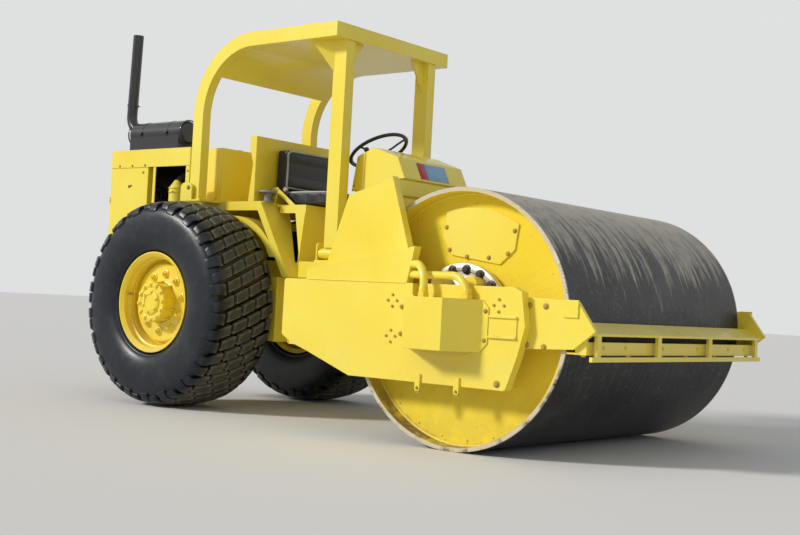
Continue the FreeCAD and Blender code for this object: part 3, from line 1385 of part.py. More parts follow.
def seat():
    """Riser of folded sheet, cushion, back and the straps beside them."""
    top = D.deck_top - D.deck_sheet
    under = top - D.riser_sheet
    sheet = prism("riser_front", "XZ", [
        (-D.riser_foot, D.platform_top),
        (-D.riser_brow, under),
        (-D.riser_brow - D.riser_sheet, under),
        (-D.riser_foot - D.riser_sheet, D.platform_top),
    ], -D.riser_half, D.riser_half)
    plate = box("riser_top", (-D.riser_rear, -D.riser_brow), (-D.riser_half, D.riser_half), (under, top))
    gusset = prism("riser_gusset", "XZ", [
        (-D.riser_foot, D.platform_top + D.riser_lip),
        (-D.riser_brow, under),
        (-D.riser_brow - D.riser_gusset, under),
    ], -D.riser_half, -(D.riser_half - D.riser_sheet))
    lip = box("riser_lip", (-D.lip_rear, -D.riser_brow), (-D.riser_half, -(D.riser_half - D.riser_sheet)),
              (under - D.riser_lip, under))
    strap = prism("seat_strap", "XZ", [
        (-D.riser_rear - 85, D.deck_top),
        (-D.riser_rear - 45, D.strap_top),
        (-D.riser_rear + 10, D.strap_top),
        (-D.riser_rear + 180, top),
        (-D.riser_rear + 125, top),
        (-D.riser_rear - 8, D.strap_top - 30),
        (-D.riser_rear - 28, D.strap_top - 42),
        (-D.riser_rear - 35, D.deck_top),
    ], -(D.strap_side + D.strap_thick), -D.strap_side)
    sides = [gusset, lip, strap]
    sides += [mirrored(side.Name + "_twin", side) for side in sides]
    node("seat_riser", fuse("seat_riser", [sheet, plate] + sides))
    cushion_bottom = top + D.soft_gap
    cushion_top = cushion_bottom + D.cushion_thick
    cushion = box("seat_cushion", (-D.cushion_rear, -D.cushion_front), (-D.seat_half, D.seat_half),
                  (cushion_bottom, cushion_top))
    node("seat_cushion", cushion)
    back = prism("seat_back", "XZ", [
        (-D.back_rear, cushion_top + D.soft_gap),
        (-D.back_rear + D.back_thick, cushion_top + D.soft_gap),
        (-D.back_rear + D.back_thick * 0.8, D.back_top),
        (-D.back_rear - D.back_thick * 0.2, D.back_top),
    ], -D.seat_half, D.seat_half)
    node("seat_back", back)


def console():
    """Pedestal and sloping desk ahead of the operator, with the steering wheel."""
    desk = prism("console", "XZ", [
        (D.console_foot_rear, D.platform_top),
        (D.console_rear_x, D.console_knee_height),
        (D.console_knee_x, D.console_knee_height),
        (D.console_rear_x, D.console_rear_height),
        (D.console_peak_x, D.console_peak_height),
        (D.console_brow_x, D.console_brow_height),
        (D.console_lip_x, D.console_lip_height),
        (D.console_throat_x, D.console_throat_height),
        (D.console_foot_front, D.platform_top),
    ], -D.console_half, D.console_half)
    return node("console", desk)


def steering_wheel(desk):
    """Ring on three spokes and its column, which ends on the desk."""
    tilt = D.wheel_tilt.number
    grip = D.wheel_grip.number
    section = [FreeCAD.Vector(D.wheel_ring_radius.number + grip * cosine(turn), 0, grip * sine(turn))
               for turn in range(0, 361, 45)]
    ring = Part.Face(Part.makePolygon(section)).revolve(FreeCAD.Vector(), FreeCAD.Vector(0, 0, 1), 360)
    hub = Part.makeCylinder(D.column_radius.number * 1.6, D.column_radius.number * 2,
                            FreeCAD.Vector(0, 0, -D.column_radius.number * 2))
    shaft = Part.makeCylinder(D.column_radius.number, D.column_length.number,
                              FreeCAD.Vector(0, 0, -D.column_length.number))
    shape = ring.fuse(hub).fuse(shaft)
    for turn in (90, 210, 330):
        direction = FreeCAD.Rotation(FreeCAD.Vector(0, 0, 1), turn).multVec(FreeCAD.Vector(1, 0, 0))
        spoke = Part.makeCylinder(D.wheel_grip.number * 0.8, D.wheel_ring_radius.number,
                                  FreeCAD.Vector(0, 0, -D.wheel_grip.number * 0.5), direction)
        shape = shape.fuse(spoke)
    piece = doc.addObject("Part::Feature", "steering_wheel_whole")
    piece.Shape = shape.removeSplitter()
    piece.Placement = FreeCAD.Placement(
        FreeCAD.Vector(-D.wheel_x.number, 0, D.wheel_height.number),
        FreeCAD.Rotation(FreeCAD.Vector(0, 1, 0), -tilt))
    node("steering_wheel", cut("steering_wheel", piece, desk))


def tank():
    """Square tank on the deck behind the bulkhead."""
    block = box("tank", (-D.tank_rear, -D.tank_front), (-D.body_half, -D.tank_inner),
                (D.deck_top, D.tank_top))
    node("tank", block)


def hood():
    """Hood top, side panels with the engine bay openings, firewall and grille."""
    low = D.hood_top - D.hood_band
    flange_inner = D.body_half - D.hood_sheet
    top = prism("hood_top", "YZ", [
        (-D.body_half, low),
        (-D.body_half, D.hood_top),
        (D.body_half, D.hood_top),
        (D.body_half, low),
        (flange_inner, low),
        (flange_inner, D.hood_top - D.hood_sheet),
        (-flange_inner, D.hood_top - D.hood_sheet),
        (-flange_inner, low),
    ], -D.hood_rear, -D.hood_front)
    node("hood_top", top)
    panel_inner = flange_inner - D.panel_sheet
    panel = prism("hood_panel", "XZ", [
        (-D.hood_rear, D.hood_base),
        (-D.hood_front, D.hood_base),
        (-D.hood_front, low + D.panel_sheet),
        (-D.hood_rear, low + D.panel_sheet),
    ], -flange_inner, -panel_inner, windows=[[
        (-D.bay_rear, D.bay_bottom),
        (-D.bay_front, D.bay_bottom),
        (-D.bay_front, low),
        (-D.bay_rear, low),
    ]])
    strip = box("bay_strip", (-D.bay_strip_rear, -D.bay_strip_front),
                (-flange_inner, -(flange_inner - D.hood_sheet)), (D.bay_bottom, low))
    jamb = box("bay_jamb", (-D.bay_rear - D.hood_sheet, -D.bay_rear),
               (-flange_inner, -(flange_inner - D.bay_jamb)), (D.bay_bottom, low))
    pair("hood_sides", fuse("hood_side_right", [panel, strip, jamb]))
    firewall = box("firewall", (-D.hood_front, -D.hood_front + D.firewall_thick),
                   (-D.body_half, D.body_half), (D.hood_base, D.hood_top))
    node("firewall", firewall)
    grille_top = D.hood_top - D.hood_sheet
    blank = box("grille_blank", (-D.hood_rear, -D.hood_rear + D.grille_thick),
                (-panel_inner, panel_inner), (D.grille_bottom, grille_top))
    count = int(D.grille_slots.number)
    pitch = (grille_top - D.grille_bottom - D.grille_border * 2 + D.grille_bar) / D.grille_slots
    slots = []
    for number in range(count):
        start = D.grille_bottom + D.grille_border + pitch * number
        slots.append(box("grille_slot%d" % number, (-D.hood_rear, -D.hood_rear + D.grille_thick),
                         (-panel_inner + D.grille_border, panel_inner - D.grille_border),
                         (start, start + pitch - D.grille_bar)))
    node("grille", cut("grille", blank, fuse("grille_slots", slots)))


def engine():
    """Engine with its head, round housing and fan, on two cross members."""
    half = [
        (D.engine_sump_half, D.engine_bottom),
        (D.engine_half, D.engine_flank),
        (D.engine_half, D.engine_shoulder),
        (D.engine_deck_half, D.engine_deck),
    ]
    outline = half + [(-y, z) for y, z in reversed(half)]
    block = prism("engine_block", "YZ", outline, -D.engine_rear, -D.engine_front)
    head_rear = -D.engine_rear + D.head_inset
    head_front = -D.engine_front - D.head_inset
    head = box("engine_head", (head_rear, head_front), (-D.head_half, D.head_half),
               (D.engine_deck, D.head_top))
    lid = prism("valve_cover", "YZ", [
        (-D.head_half * 0.8, D.head_top),
        (-D.valve_cover_half, D.engine_top),
        (D.valve_cover_half, D.engine_top),
        (D.head_half * 0.8, D.head_top),
    ], head_rear + D.cover_inset, head_front - D.cover_inset)
    housing = rod("engine_housing", "y", D.housing_radius, -D.housing_out, ZERO,
                  x=-D.housing_x, z=D.housing_height)
    boss = rod("housing_boss", "y", D.housing_radius / 3, -D.housing_out - D.saddle_width / 2,
               -D.housing_out, x=-D.housing_x, z=D.housing_height)
    member_inner = D.frame_half - D.member_thick
    pieces = [block, head, lid, housing, boss]
    for name, start in (("front", -D.engine_front - D.engine_mount_inset - D.engine_mount),
                        ("rear", -D.engine_rear + D.engine_mount_inset)):
        pieces.append(box("engine_mount_" + name, (start, start + D.engine_mount),
                          (-member_inner, member_inner),
                          (D.engine_mount_bottom, D.engine_mount_bottom + D.engine_mount)))
    pieces.append(fan())
    shaft = box("fan_mount", (-D.engine_rear, head_rear), (-D.fan_hub, D.fan_hub),
                (D.engine_deck, D.fan_height + D.fan_hub))
    node("engine", fuse("engine", pieces + [shaft]))


def fan():
    """Hub and pitched blades behind the engine."""
    rear = FreeCAD.Vector(-D.engine_rear.number - D.fan_depth.number, 0, D.fan_height.number)
    along = FreeCAD.Vector(1, 0, 0)
    depth = D.fan_depth.number
    whole = Part.makeCylinder(D.fan_hub.number, depth, rear, along)
    blade_length = D.fan_radius.number
    width = D.fan_hub.number * 1.6
    count = int(D.fan_blades.number)
    for number in range(count):
        blade = Part.makeBox(depth * 0.12, width, blade_length, FreeCAD.Vector(0, -width / 2, 0))
        blade.rotate(FreeCAD.Vector(), FreeCAD.Vector(0, 0, 1), 24)
        blade.rotate(FreeCAD.Vector(), along, number * 360.0 / count)
        blade.translate(rear + along * (depth * 0.45))
        whole = whole.fuse(blade)
    piece = doc.addObject("Part::Feature", "fan_whole")
    piece.Shape = whole.removeSplitter()
    return piece


def radiator():
    """Core behind the grille with its upright tubes."""
    core = box("radiator_core", (-D.radiator_rear + D.riser_sheet, -D.radiator_front),
               (-D.radiator_half, D.radiator_half), (D.hood_base, D.radiator_top))
    foot = box("radiator_foot", (-D.radiator_front, -D.frame_rear + D.radiator_foot),
               (-D.radiator_half, D.radiator_half), (D.hood_base, D.hood_base + D.radiator_foot))
    pieces = [core, foot]
    count = int(D.radiator_fins.number)
    pitch = (D.radiator_half * 2 - D.radiator_foot) / (D.radiator_fins - 1)
    for number in range(count):
        start = -D.radiator_half + pitch * number
        pieces.append(box("radiator_tube%d" % number, (-D.radiator_rear, -D.radiator_rear + D.riser_sheet),
                          (start, start + D.radiator_foot), (D.hood_base, D.radiator_top)))
    node("radiator", fuse("radiator", pieces))


def air_cleaner():
    """Canister with a conical cap, strapped to the engine."""
    can = turned("cleaner_can", "z", [
        (D.cleaner_bottom, ZERO),
        (D.cleaner_bottom, D.cleaner_radius),
        (D.cleaner_top, D.cleaner_radius),
        (D.cleaner_top + D.cleaner_cap, D.cleaner_radius / 3),
        (D.cleaner_top + D.cleaner_cap, ZERO),
    ])
    place(can, -D.cleaner_x, -D.cleaner_y, ZERO)
    low = D.cleaner_bottom
    strap = box("cleaner_strap", (-D.cleaner_x - D.saddle_width / 2, -D.cleaner_x + D.saddle_width / 2),
                (-D.cleaner_y, ZERO), (low, low + D.saddle_width))
    engine_piece = nodes["engine"]
    node("air_cleaner", fuse("air_cleaner", [can, cut("cleaner_bracket", strap, engine_piece)]))


def exhaust():
    """Muffler in its tray on the hood, and the pipe."""
    height = D.hood_top + D.muffler_rise
    body = turned("muffler_drum", "x", [
        (-D.muffler_rear, ZERO),
        (-D.muffler_rear, D.muffler_radius - D.muffler_dome),
        (-(D.muffler_rear - D.muffler_dome), D.muffler_radius),
        (-(D.muffler_front + D.muffler_dome), D.muffler_radius),
        (-D.muffler_front, D.muffler_radius - D.muffler_dome),
        (-D.muffler_front, ZERO),
    ])
    place(body, ZERO, -D.muffler_y, height)
    half = D.muffler_radius * 0.96
    tray = box("muffler_tray", (-(D.muffler_rear - D.muffler_dome), -(D.muffler_front + D.muffler_dome)),
               (-D.muffler_y - half, -D.muffler_y + half), (D.hood_top, height))
    node("exhaust", fuse("exhaust", [body, tray, exhaust_pipe()]))


def exhaust_pipe():
    """Elbow out of the muffler's rear end and a stack that leans a little forward."""
    radius = D.stack_radius.number
    bend = D.stack_bend.number
    height = D.hood_top.number + D.muffler_rise.number + D.elbow_rise.number
    start = FreeCAD.Vector(D.elbow_inset.number - D.muffler_rear.number, -D.muffler_y.number, height)
    centre = start + FreeCAD.Vector(0, 0, bend)
    across = FreeCAD.Vector(0, 1, 0)
    profile = Part.Wire([Part.makeCircle(radius, start, FreeCAD.Vector(-1, 0, 0))])
    turn = 90 + D.stack_lean.number
    elbow = Part.Face(profile).revolve(centre, across, turn)
    heading = FreeCAD.Rotation(across, D.stack_lean.number).multVec(FreeCAD.Vector(0, 0, 1))
    mouth = centre + FreeCAD.Rotation(across, turn).multVec(FreeCAD.Vector(0, 0, -bend))
    rim_drop = radius * sine(D.stack_lean.number)
    rise = (D.stack_top.number - rim_drop - mouth.z) / cosine(D.stack_lean.number)
    stack = Part.makeCylinder(radius, rise, mouth, heading)
    clamp_at = mouth + heading * D.clamp_rise.number
    clamp_height = D.clamp_height.number
    clamp = Part.makeCylinder(radius * 1.08, clamp_height, clamp_at, heading)
    tongue = Part.makeBox(radius + D.clamp_tab.number, clamp_height, clamp_height / 4,
                          clamp_at - across * (clamp_height / 2))
    pipe = doc.addObject("Part::Feature", "exhaust_pipe")
    pipe.Shape = elbow.fuse([stack, clamp, tongue]).removeSplitter()
    pipe.Placement = FreeCAD.Placement()
    return pipe


def roll_bar():
    """Bent side rails, front posts, roof and feet."""
    inner_side = D.rops_outer - D.rops_across
    top = D.rops_top
    low = top - D.rops_tube
    front = D.rops_front - D.rops_tube
    rear_in = -D.rops_rear + D.rops_tube
    foot = D.deck_top + D.foot_ear * 2
    inner_bend = D.rops_bend - D.rops_tube
    rail = prism("rops_rail_right", "XZ", [
        (front, low),
        (front, top),
        (-D.rops_rear, top),
        (-D.rops_rear, foot),
        (rear_in, foot),
        (rear_in, low),
    ], -D.rops_outer, -inner_side, {2: D.rops_bend, 5: inner_bend})
    pair("rops_rails", rail)
    beam = box("rops_beam", (front, D.rops_front), (-D.rops_outer, D.rops_outer), (low, top))
    rear_cross = box("rops_cross", (-D.roof_cross_x - D.cross_tube, -D.roof_cross_x),
                     (-inner_side, inner_side), (low + D.roof_sheet, top - D.roof_drop))
    back_x = -D.rops_rear + D.rops_bend
    back_cross = box("rops_back_cross", (back_x, back_x + D.cross_tube),
                     (-inner_side, inner_side), (low + D.roof_sheet, top - D.roof_drop))
    node("rops_cross_members", group("rops_cross_members", [beam, rear_cross, back_cross]))
    bend_height = top - D.rops_bend
    roof = box("roof_flat", (back_x, front), (-inner_side, inner_side), (low, low + D.roof_sheet))
    ring = cut("roof_ring",
               rod("roof_outside", "y", inner_bend + D.roof_sheet, -inner_side, inner_side,
                   x=back_x, z=bend_height),
               rod("roof_inside", "y", inner_bend, -inner_side, inner_side, x=back_x, z=bend_height))
    reach = D.rops_bend * 2
    wedge = prism("roof_wedge", "XZ", [
        (back_x, bend_height),
        (back_x, bend_height + reach),
        (back_x - reach, bend_height + reach),
        (back_x - reach * sine(D.roof_wrap.number), bend_height + reach * cosine(D.roof_wrap.number)),
    ], -inner_side, inner_side)
    node("rops_roof", fuse("rops_roof", [roof, common("roof_bend", [ring, wedge])]))
    post_inner = D.rops_post_side - D.rops_post_across
    post = box("post_right", (D.rops_post_front - D.rops_post_depth, D.rops_post_front),
               (-D.rops_post_side, -post_inner), (D.post_foot, low))
    pair("rops_posts", fuse("rops_post_whole", [post] + gussets(low, post_inner)))
    half = D.bracket_length / 2
    rear_span = (-D.bracket_rear, -D.bracket_front)
    outside = D.rops_outer + D.bracket_reach
    rear_pieces = [
        box("rear_base", rear_span, (-outside, -D.body_half), (D.deck_top - D.foot_base, D.deck_top)),
        box("rear_block", (-D.rops_rear, rear_in), (-D.rops_outer, -inner_side), (D.deck_top, foot)),
    ]
    for name, face in (("outer", -outside), ("inner", -inner_side + D.bracket_reach - D.foot_ear)):
        corner = D.rear_ear_top - D.deck_top
        rear_pieces.append(prism("rear_ear_" + name, "XZ", [
            (-D.bracket_rear, D.deck_top - D.foot_base),
            (-D.bracket_rear, D.rear_ear_top),
            (-D.rear_ear_front, D.rear_ear_top),
            (-D.rear_ear_front, D.deck_top - D.foot_base),
        ], face, face + D.foot_ear, {1: corner * 0.3, 2: corner * 0.3}))
    rear_foot = fuse("rear_foot", rear_pieces)
    front_middle = D.rops_post_front - D.rops_post_depth / 2 - D.foot_setback
    front_base = box("front_base", (front_middle - half, front_middle + half),
                     (-D.rops_post_side - D.foot_base, -post_inner + D.foot_base),
                     (D.platform_top, D.platform_top + D.foot_base))
    front_tube = rod("front_foot_tube", "x", D.foot_tube_radius, front_middle - half + D.foot_ear,
                     front_middle + half - D.foot_ear, y=-D.rops_post_side + D.rops_post_across / 2,
                     z=D.post_foot - D.foot_tube_radius)
    cradle = box("front_cradle", (D.rops_post_front - D.rops_post_depth, D.rops_post_front - D.foot_base),
                 (-D.rops_post_side + D.foot_base, -post_inner - D.foot_base),
                 (D.post_foot - D.foot_tube_radius, D.post_foot))
    front_pieces = [front_base, front_tube, cradle]
    for name, start in (("rear", front_middle - half), ("front", front_middle + half - D.foot_ear)):
        front_pieces.append(prism("front_ear_" + name, "YZ", [
            (-D.rops_post_side, D.platform_top),
            (-D.rops_post_side, D.post_foot + D.ear_rise),
            (-post_inner, D.post_foot + D.ear_rise),
            (-post_inner, D.platform_top),
        ], start, start + D.foot_ear, {1: D.rops_post_across * 0.35, 2: D.rops_post_across * 0.35}))
    front_foot = fuse("front_foot", front_pieces)
    pieces = [rear_foot, front_foot]
    node("rops_feet", group("rops_feet", pieces + [mirrored(piece.Name + "_twin", piece)
                                                   for piece in pieces]))


def gussets(low, post_inner):
    """Plates that brace a post to the side rail and to the front beam."""
    rear = D.rops_post_front - D.rops_post_depth
    side = prism("gusset_side", "XZ", [
        (ZERO, low - D.gusset_drop),
        (ZERO, low),
        (-D.gusset_run, low),
    ], ZERO, D.gusset_thick)
    yaw = FreeCAD.Rotation(FreeCAD.Vector(0, 0, 1), D.gusset_yaw.number)
    side.Placement = FreeCAD.Placement(FreeCAD.Vector(), yaw)
    place(side, rear + D.gusset_thick / 2, -D.rops_post_side + D.gusset_thick, ZERO)
    middle = D.rops_post_front - D.rops_post_depth / 2
    front = prism("gusset_front", "YZ", [
        (-post_inner, low - D.gusset_drop),
        (-post_inner, low),
        (-post_inner + D.gusset_in, low),
    ], middle, middle + D.gusset_thick)
    return [side, front]


def build():
    drum()
    drum_carriers()
    side_plates()
    rail = side_rails()
    guard()
    arms()
    crossbox()
    yoke()
    front_bar()
    scraper()
    motor_covers(rail)
    chassis()
    axle()
    for side, sign in (("right", -1), ("left", 1)):
        tyre(side, sign)
        rim(side, sign)
        steering_cylinder(side, sign)
    platform_and_deck()
    seat()
    steering_wheel(console())
    tank()
    hood()
    engine()
    radiator()
    air_cleaner()
    exhaust()
    roll_bar()


def check():
    """Stop if anything failed to build."""
    for thing in doc.Objects:
        if "Invalid" in thing.State or "Error" in thing.State:
            raise RuntimeError("%s did not build" % thing.Label)
    for label, thing in nodes.items():
        if thing.Shape.isNull() or not thing.Shape.isValid() or not thing.Shape.Solids:
            raise RuntimeError("%s has no sound shape" % label)


def export():
    os.makedirs("parts", exist_ok=True)
    for label, thing in nodes.items():
        thing.Shape.exportStep("parts/%s.step" % label)


build()
doc.recompute()
check()
export()
print("%d sub-parts written" % len(nodes))
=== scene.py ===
import bmesh
import bpy
import json
import math
from mathutils import Matrix, Vector


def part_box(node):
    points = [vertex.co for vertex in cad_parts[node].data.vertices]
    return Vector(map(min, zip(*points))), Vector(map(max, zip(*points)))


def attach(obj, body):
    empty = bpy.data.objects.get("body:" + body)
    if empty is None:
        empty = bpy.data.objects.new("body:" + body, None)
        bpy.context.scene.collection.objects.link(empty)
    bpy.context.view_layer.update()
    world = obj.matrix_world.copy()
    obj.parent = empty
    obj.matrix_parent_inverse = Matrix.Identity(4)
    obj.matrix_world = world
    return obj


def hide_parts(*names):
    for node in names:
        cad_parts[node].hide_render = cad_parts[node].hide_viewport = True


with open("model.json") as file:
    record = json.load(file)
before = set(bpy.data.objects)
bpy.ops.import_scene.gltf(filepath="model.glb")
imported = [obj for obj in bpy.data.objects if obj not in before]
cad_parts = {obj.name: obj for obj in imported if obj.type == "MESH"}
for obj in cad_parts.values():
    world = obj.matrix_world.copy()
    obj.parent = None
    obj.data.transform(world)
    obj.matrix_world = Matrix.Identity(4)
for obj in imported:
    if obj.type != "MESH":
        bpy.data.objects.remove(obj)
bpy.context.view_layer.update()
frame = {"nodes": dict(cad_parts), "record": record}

# Camera, fitted to the photograph: pixels, metres and degrees
PHOTO_WIDTH = 800
FOCAL_PIXELS = 1253.15
CAMERA_PLACE = Vector((5.733, -6.788, 0.823))
CAMERA_AZIMUTH = 39.0
CAMERA_PITCH = 1.612
CAMERA_ROLL = 3.06

# Where the machine's main forms lie, metres; the faces are distances from the middle plane
DRUM_AXLE = Vector((1.52, 0, 0.75))
DRUM_RADIUS = 0.75
DRUM_EDGE = 1.067
HEAD_FACE = 0.957
HATCH_FACE = 0.967
FLANGE_FACE = 1.012
PLATE_FACE = 1.16
MOTOR_FLANGE_FACE = 1.168
ARM_FACE = 1.1
WHEEL_MIDDLE = 0.745
TYRE_RADIUS = 0.735
HOOD_PANEL_FACE = 0.434
HOOD_BAND_FACE = 0.44
GRILLE_BACK = -2.45
ENGINE_FACE = 0.2505
DIAL_PANEL_FOOT = Vector((0.101, 0, 1.807))
DIAL_PANEL_RISE = Vector((0.145, 0, 0.057)).normalized()
SIDES = (("right", -1), ("left", 1))

# Ways that a form faces
UP = (0, 0, 1)
DOWN = (0, 0, -1)
AHEAD = (1, 0, 0)
BEHIND = (-1, 0, 0)
TO_RIGHT = (0, -1, 0)
# Stands a plate that is drawn in (x, z) upright, its thickness towards the right side
ON_EDGE = Matrix.Rotation(math.radians(90), 4, "X")

# Colours, linear
LEMON = (0.93, 0.735, 0.04, 1)
SUNNED_LEMON = (0.95, 0.8, 0.1, 1)
GOLDEN = (0.86, 0.6, 0.012, 1)
PRIMER = (0.2, 0.13, 0.07, 1)
EARTH = (0.22, 0.155, 0.09, 1)
PALE_EARTH = (0.47, 0.39, 0.28, 1)
DRY_MUD = (0.46, 0.43, 0.36, 1)
ROLLED_STEEL = (0.016, 0.018, 0.022, 1)
GREY_STEEL = (0.045, 0.044, 0.045, 1)
BRIGHT_STEEL = (0.62, 0.6, 0.56, 1)
SCUFFED_RIM = (0.62, 0.56, 0.4, 1)
RUST = (0.09, 0.045, 0.03, 1)
RUBBER = (0.006, 0.009, 0.015, 1)
CLOUDED_RUBBER = (0.015, 0.02, 0.029, 1)
# Painted shade for the floors of the tread's grooves
GROOVE_PAINTED_SHADE = (0.003, 0.003, 0.0035, 1)
TRODDEN_EARTH = (0.088, 0.082, 0.055, 1)
# Pale rubbing on the tread blocks' edges, and a painted highlight there
RUBBED_EDGE_HIGHLIGHT = (0.3, 0.285, 0.22, 1)
VINYL_BLACK = (0.01, 0.011, 0.014, 1)
VINYL_BLOOM = (0.075, 0.075, 0.078, 1)
FLOOR_COLOUR = (0.78, 0.77, 0.75, 1)
BACKDROP_COLOUR = (0.74, 0.745, 0.75, 1)
SKY_LIGHT_COLOUR = (0.9, 0.94, 1.0, 1)
SKY_LIGHT_STRENGTH = 0.36


def camera():
    """The photograph's view, with its small roll."""
    azimuth = math.radians(CAMERA_AZIMUTH)
    pitch = math.radians(CAMERA_PITCH)
    roll = math.radians(CAMERA_ROLL)
    ahead = Vector((-math.sin(azimuth) * math.cos(pitch), math.cos(azimuth) * math.cos(pitch),
                    math.sin(pitch)))
    level = Vector((math.cos(azimuth), math.sin(azimuth), 0))
    upright = level.cross(ahead)
    right = level * math.cos(roll) + upright * math.sin(roll)
    up = upright * math.cos(roll) - level * math.sin(roll)
    turn = Matrix((right, up, -ahead)).transposed().to_4x4()
    lens = bpy.data.cameras.new("photo_camera")
    lens.sensor_width = 36
    lens.lens = FOCAL_PIXELS * lens.sensor_width / PHOTO_WIDTH
    lens.clip_end = 200
    seen = bpy.data.objects.new("photo_camera", lens)
    seen.matrix_world = Matrix.Translation(CAMERA_PLACE) @ turn
    bpy.context.collection.objects.link(seen)
    bpy.context.scene.camera = seen


# Finishes
class Nodes:
    """Adds shader nodes to one tree, a socket or a plain value to each input."""

    def __init__(self, tree):
        self.tree = tree

    def feed(self, socket, value):
        if isinstance(value, bpy.types.NodeSocket):
            self.tree.links.new(value, socket)
        else:
            socket.default_value = value

    def add(self, kind, inputs=None, **settings):
        made = self.tree.nodes.new("ShaderNode" + kind)
        for key, value in settings.items():
            setattr(made, key, value)
        for key, value in (inputs or {}).items():
            self.feed(made.inputs[key], value)
        return made

    def sum(self, operation, first, second=0.0, clamp=False):
        made = self.add("Math", {0: first, 1: second}, operation=operation, use_clamp=clamp)
        return made.outputs[0]

    def band(self, value, low, high, to_low=0.0, to_high=1.0):
        """The value's place between low and high, kept inside the two ends."""
        made = self.add("MapRange", {"Value": value, "From Min": low, "From Max": high,
                                     "To Min": to_low, "To Max": to_high})
        return made.outputs[0]

    def noise(self, where, scale, detail=3.0, roughness=0.55):
        made = self.add("TexNoise", {"Vector": where, "Scale": scale, "Detail": detail,
                                     "Roughness": roughness})
        return made.outputs["Fac"]

    def stretched(self, where, factors):
        made = self.add("VectorMath", {0: where, 1: factors}, operation="MULTIPLY")
        return made.outputs[0]

    def blend(self, amount, under, over):
        made = self.add("Mix", {0: amount, 6: under, 7: over}, data_type="RGBA")
        return made.outputs[2]

    def own_place(self):
        return self.add("TexCoord").outputs["Object"]

    def split(self, vector):
        return self.add("SeparateXYZ", {0: vector}).outputs


def effect(name, inputs, outputs):
    """An empty shared effect: a shader node group with its named sockets."""
    tree = bpy.data.node_groups.new(name, "ShaderNodeTree")
    for label, kind, value in inputs:
        socket = tree.interface.new_socket(name=label, in_out="INPUT", socket_type="NodeSocket" + kind)
        socket.default_value = value
    for label, kind in outputs:
        tree.interface.new_socket(name=label, in_out="OUTPUT", socket_type="NodeSocket" + kind)
    given = tree.nodes.new("NodeGroupInput")
    result = tree.nodes.new("NodeGroupOutput")
    return Nodes(tree), given.outputs, result.inputs


def worn_edges():
    """Where corners and folds rub bare, broken up by noise."""
    nodes, given, result = effect("worn_edges", [("Width", "Float", 0.01), ("Amount", "Float", 0.5)],
                                  [("Mask", "Float")])
    rounded = nodes.add("Bevel", {"Radius": given["Width"]}, samples=6).outputs["Normal"]
    flat = nodes.add("NewGeometry").outputs["Normal"]
    facing = nodes.add("VectorMath", {0: rounded, 1: flat}, operation="DOT_PRODUCT").outputs["Value"]
    edge = nodes.band(facing, 0.985, 0.86)
    where = nodes.own_place()
    chips = nodes.band(nodes.noise(where, 38.0, 4.0, 0.7), 0.5, 0.6)
    patches = nodes.band(nodes.noise(where, 3.1, 2.0), 0.42, 0.6)
    worn = nodes.sum("MULTIPLY", nodes.sum("MULTIPLY", edge, chips), patches)
    nodes.feed(result["Mask"], nodes.sum("MULTIPLY", worn, given["Amount"], clamp=True))
    return nodes.tree


def settled_dust():
    """Earth that lies on upward faces and is thrown on to low ones."""
    nodes, given, result = effect("settled_dust", [
        ("Amount", "Float", 0.4), ("Splash Height", "Float", 0.9), ("Splash", "Float", 0.5),
    ], [("Mask", "Float")])
    where = nodes.own_place()
    upward = nodes.split(nodes.add("NewGeometry").outputs["Normal"])["Z"]
    height = nodes.split(where)["Z"]
    patches = nodes.band(nodes.noise(where, 5.0, 6.0, 0.65), 0.36, 0.66)
    fine = nodes.band(nodes.noise(where, 60.0, 4.0, 0.7), 0.25, 0.75)
    lying = nodes.sum("MULTIPLY", nodes.band(upward, 0.35, 0.95), given["Amount"])
    low = nodes.band(height, given["Splash Height"], 0.05)
    thrown = nodes.sum("MULTIPLY", nodes.sum("MULTIPLY", low, given["Splash"]), fine)
    both = nodes.sum("ADD", lying, thrown)
    nodes.feed(result["Mask"], nodes.sum("MULTIPLY", both, patches, clamp=True))
    return nodes.tree


def run_marks():
    """Faint upright marks where water has run down."""
    nodes, given, result = effect("run_marks", [("Amount", "Float", 0.3)], [("Mask", "Float")])
    where = nodes.own_place()
    upward = nodes.split(nodes.add("NewGeometry").outputs["Normal"])["Z"]
    steep = nodes.band(nodes.sum("ABSOLUTE", upward), 0.6, 0.2)
    runs = nodes.band(nodes.noise(nodes.stretched(where, (26.0, 26.0, 1.3)), 1.0, 3.0, 0.6), 0.55, 0.75)
    patches = nodes.band(nodes.noise(where, 1.7, 2.0), 0.45, 0.65)
    marks = nodes.sum("MULTIPLY", nodes.sum("MULTIPLY", runs, patches), steep)
    nodes.feed(result["Mask"], nodes.sum("MULTIPLY", marks, given["Amount"], clamp=True))
    return nodes.tree


def round_place():
    """Place on a turned form: distance from its axle and a wrapped vector round it."""
    nodes, given, result = effect("round_place", [("Centre", "Vector", (0, 0, 0))],
                                  [("Radius", "Float"), ("Wrapped", "Vector"), ("Across", "Float")])
    away = nodes.add("VectorMath", {0: nodes.own_place(), 1: given["Centre"]}, operation="SUBTRACT")
    parts = nodes.split(away.outputs[0])
    flat = nodes.add("CombineXYZ", {"X": parts["X"], "Y": 0.0, "Z": parts["Z"]}).outputs[0]
    radius = nodes.add("VectorMath", {0: flat}, operation="LENGTH").outputs["Value"]
    rim = nodes.add("VectorMath", {0: flat}, operation="NORMALIZE").outputs[0]
    rim_parts = nodes.split(rim)
    wrapped = nodes.add("CombineXYZ", {"X": rim_parts["X"], "Y": parts["Y"], "Z": rim_parts["Z"]})
    nodes.feed(result["Radius"], radius)
    nodes.feed(result["Wrapped"], wrapped.outputs[0])
    nodes.feed(result["Across"], parts["Y"])
    return nodes.tree


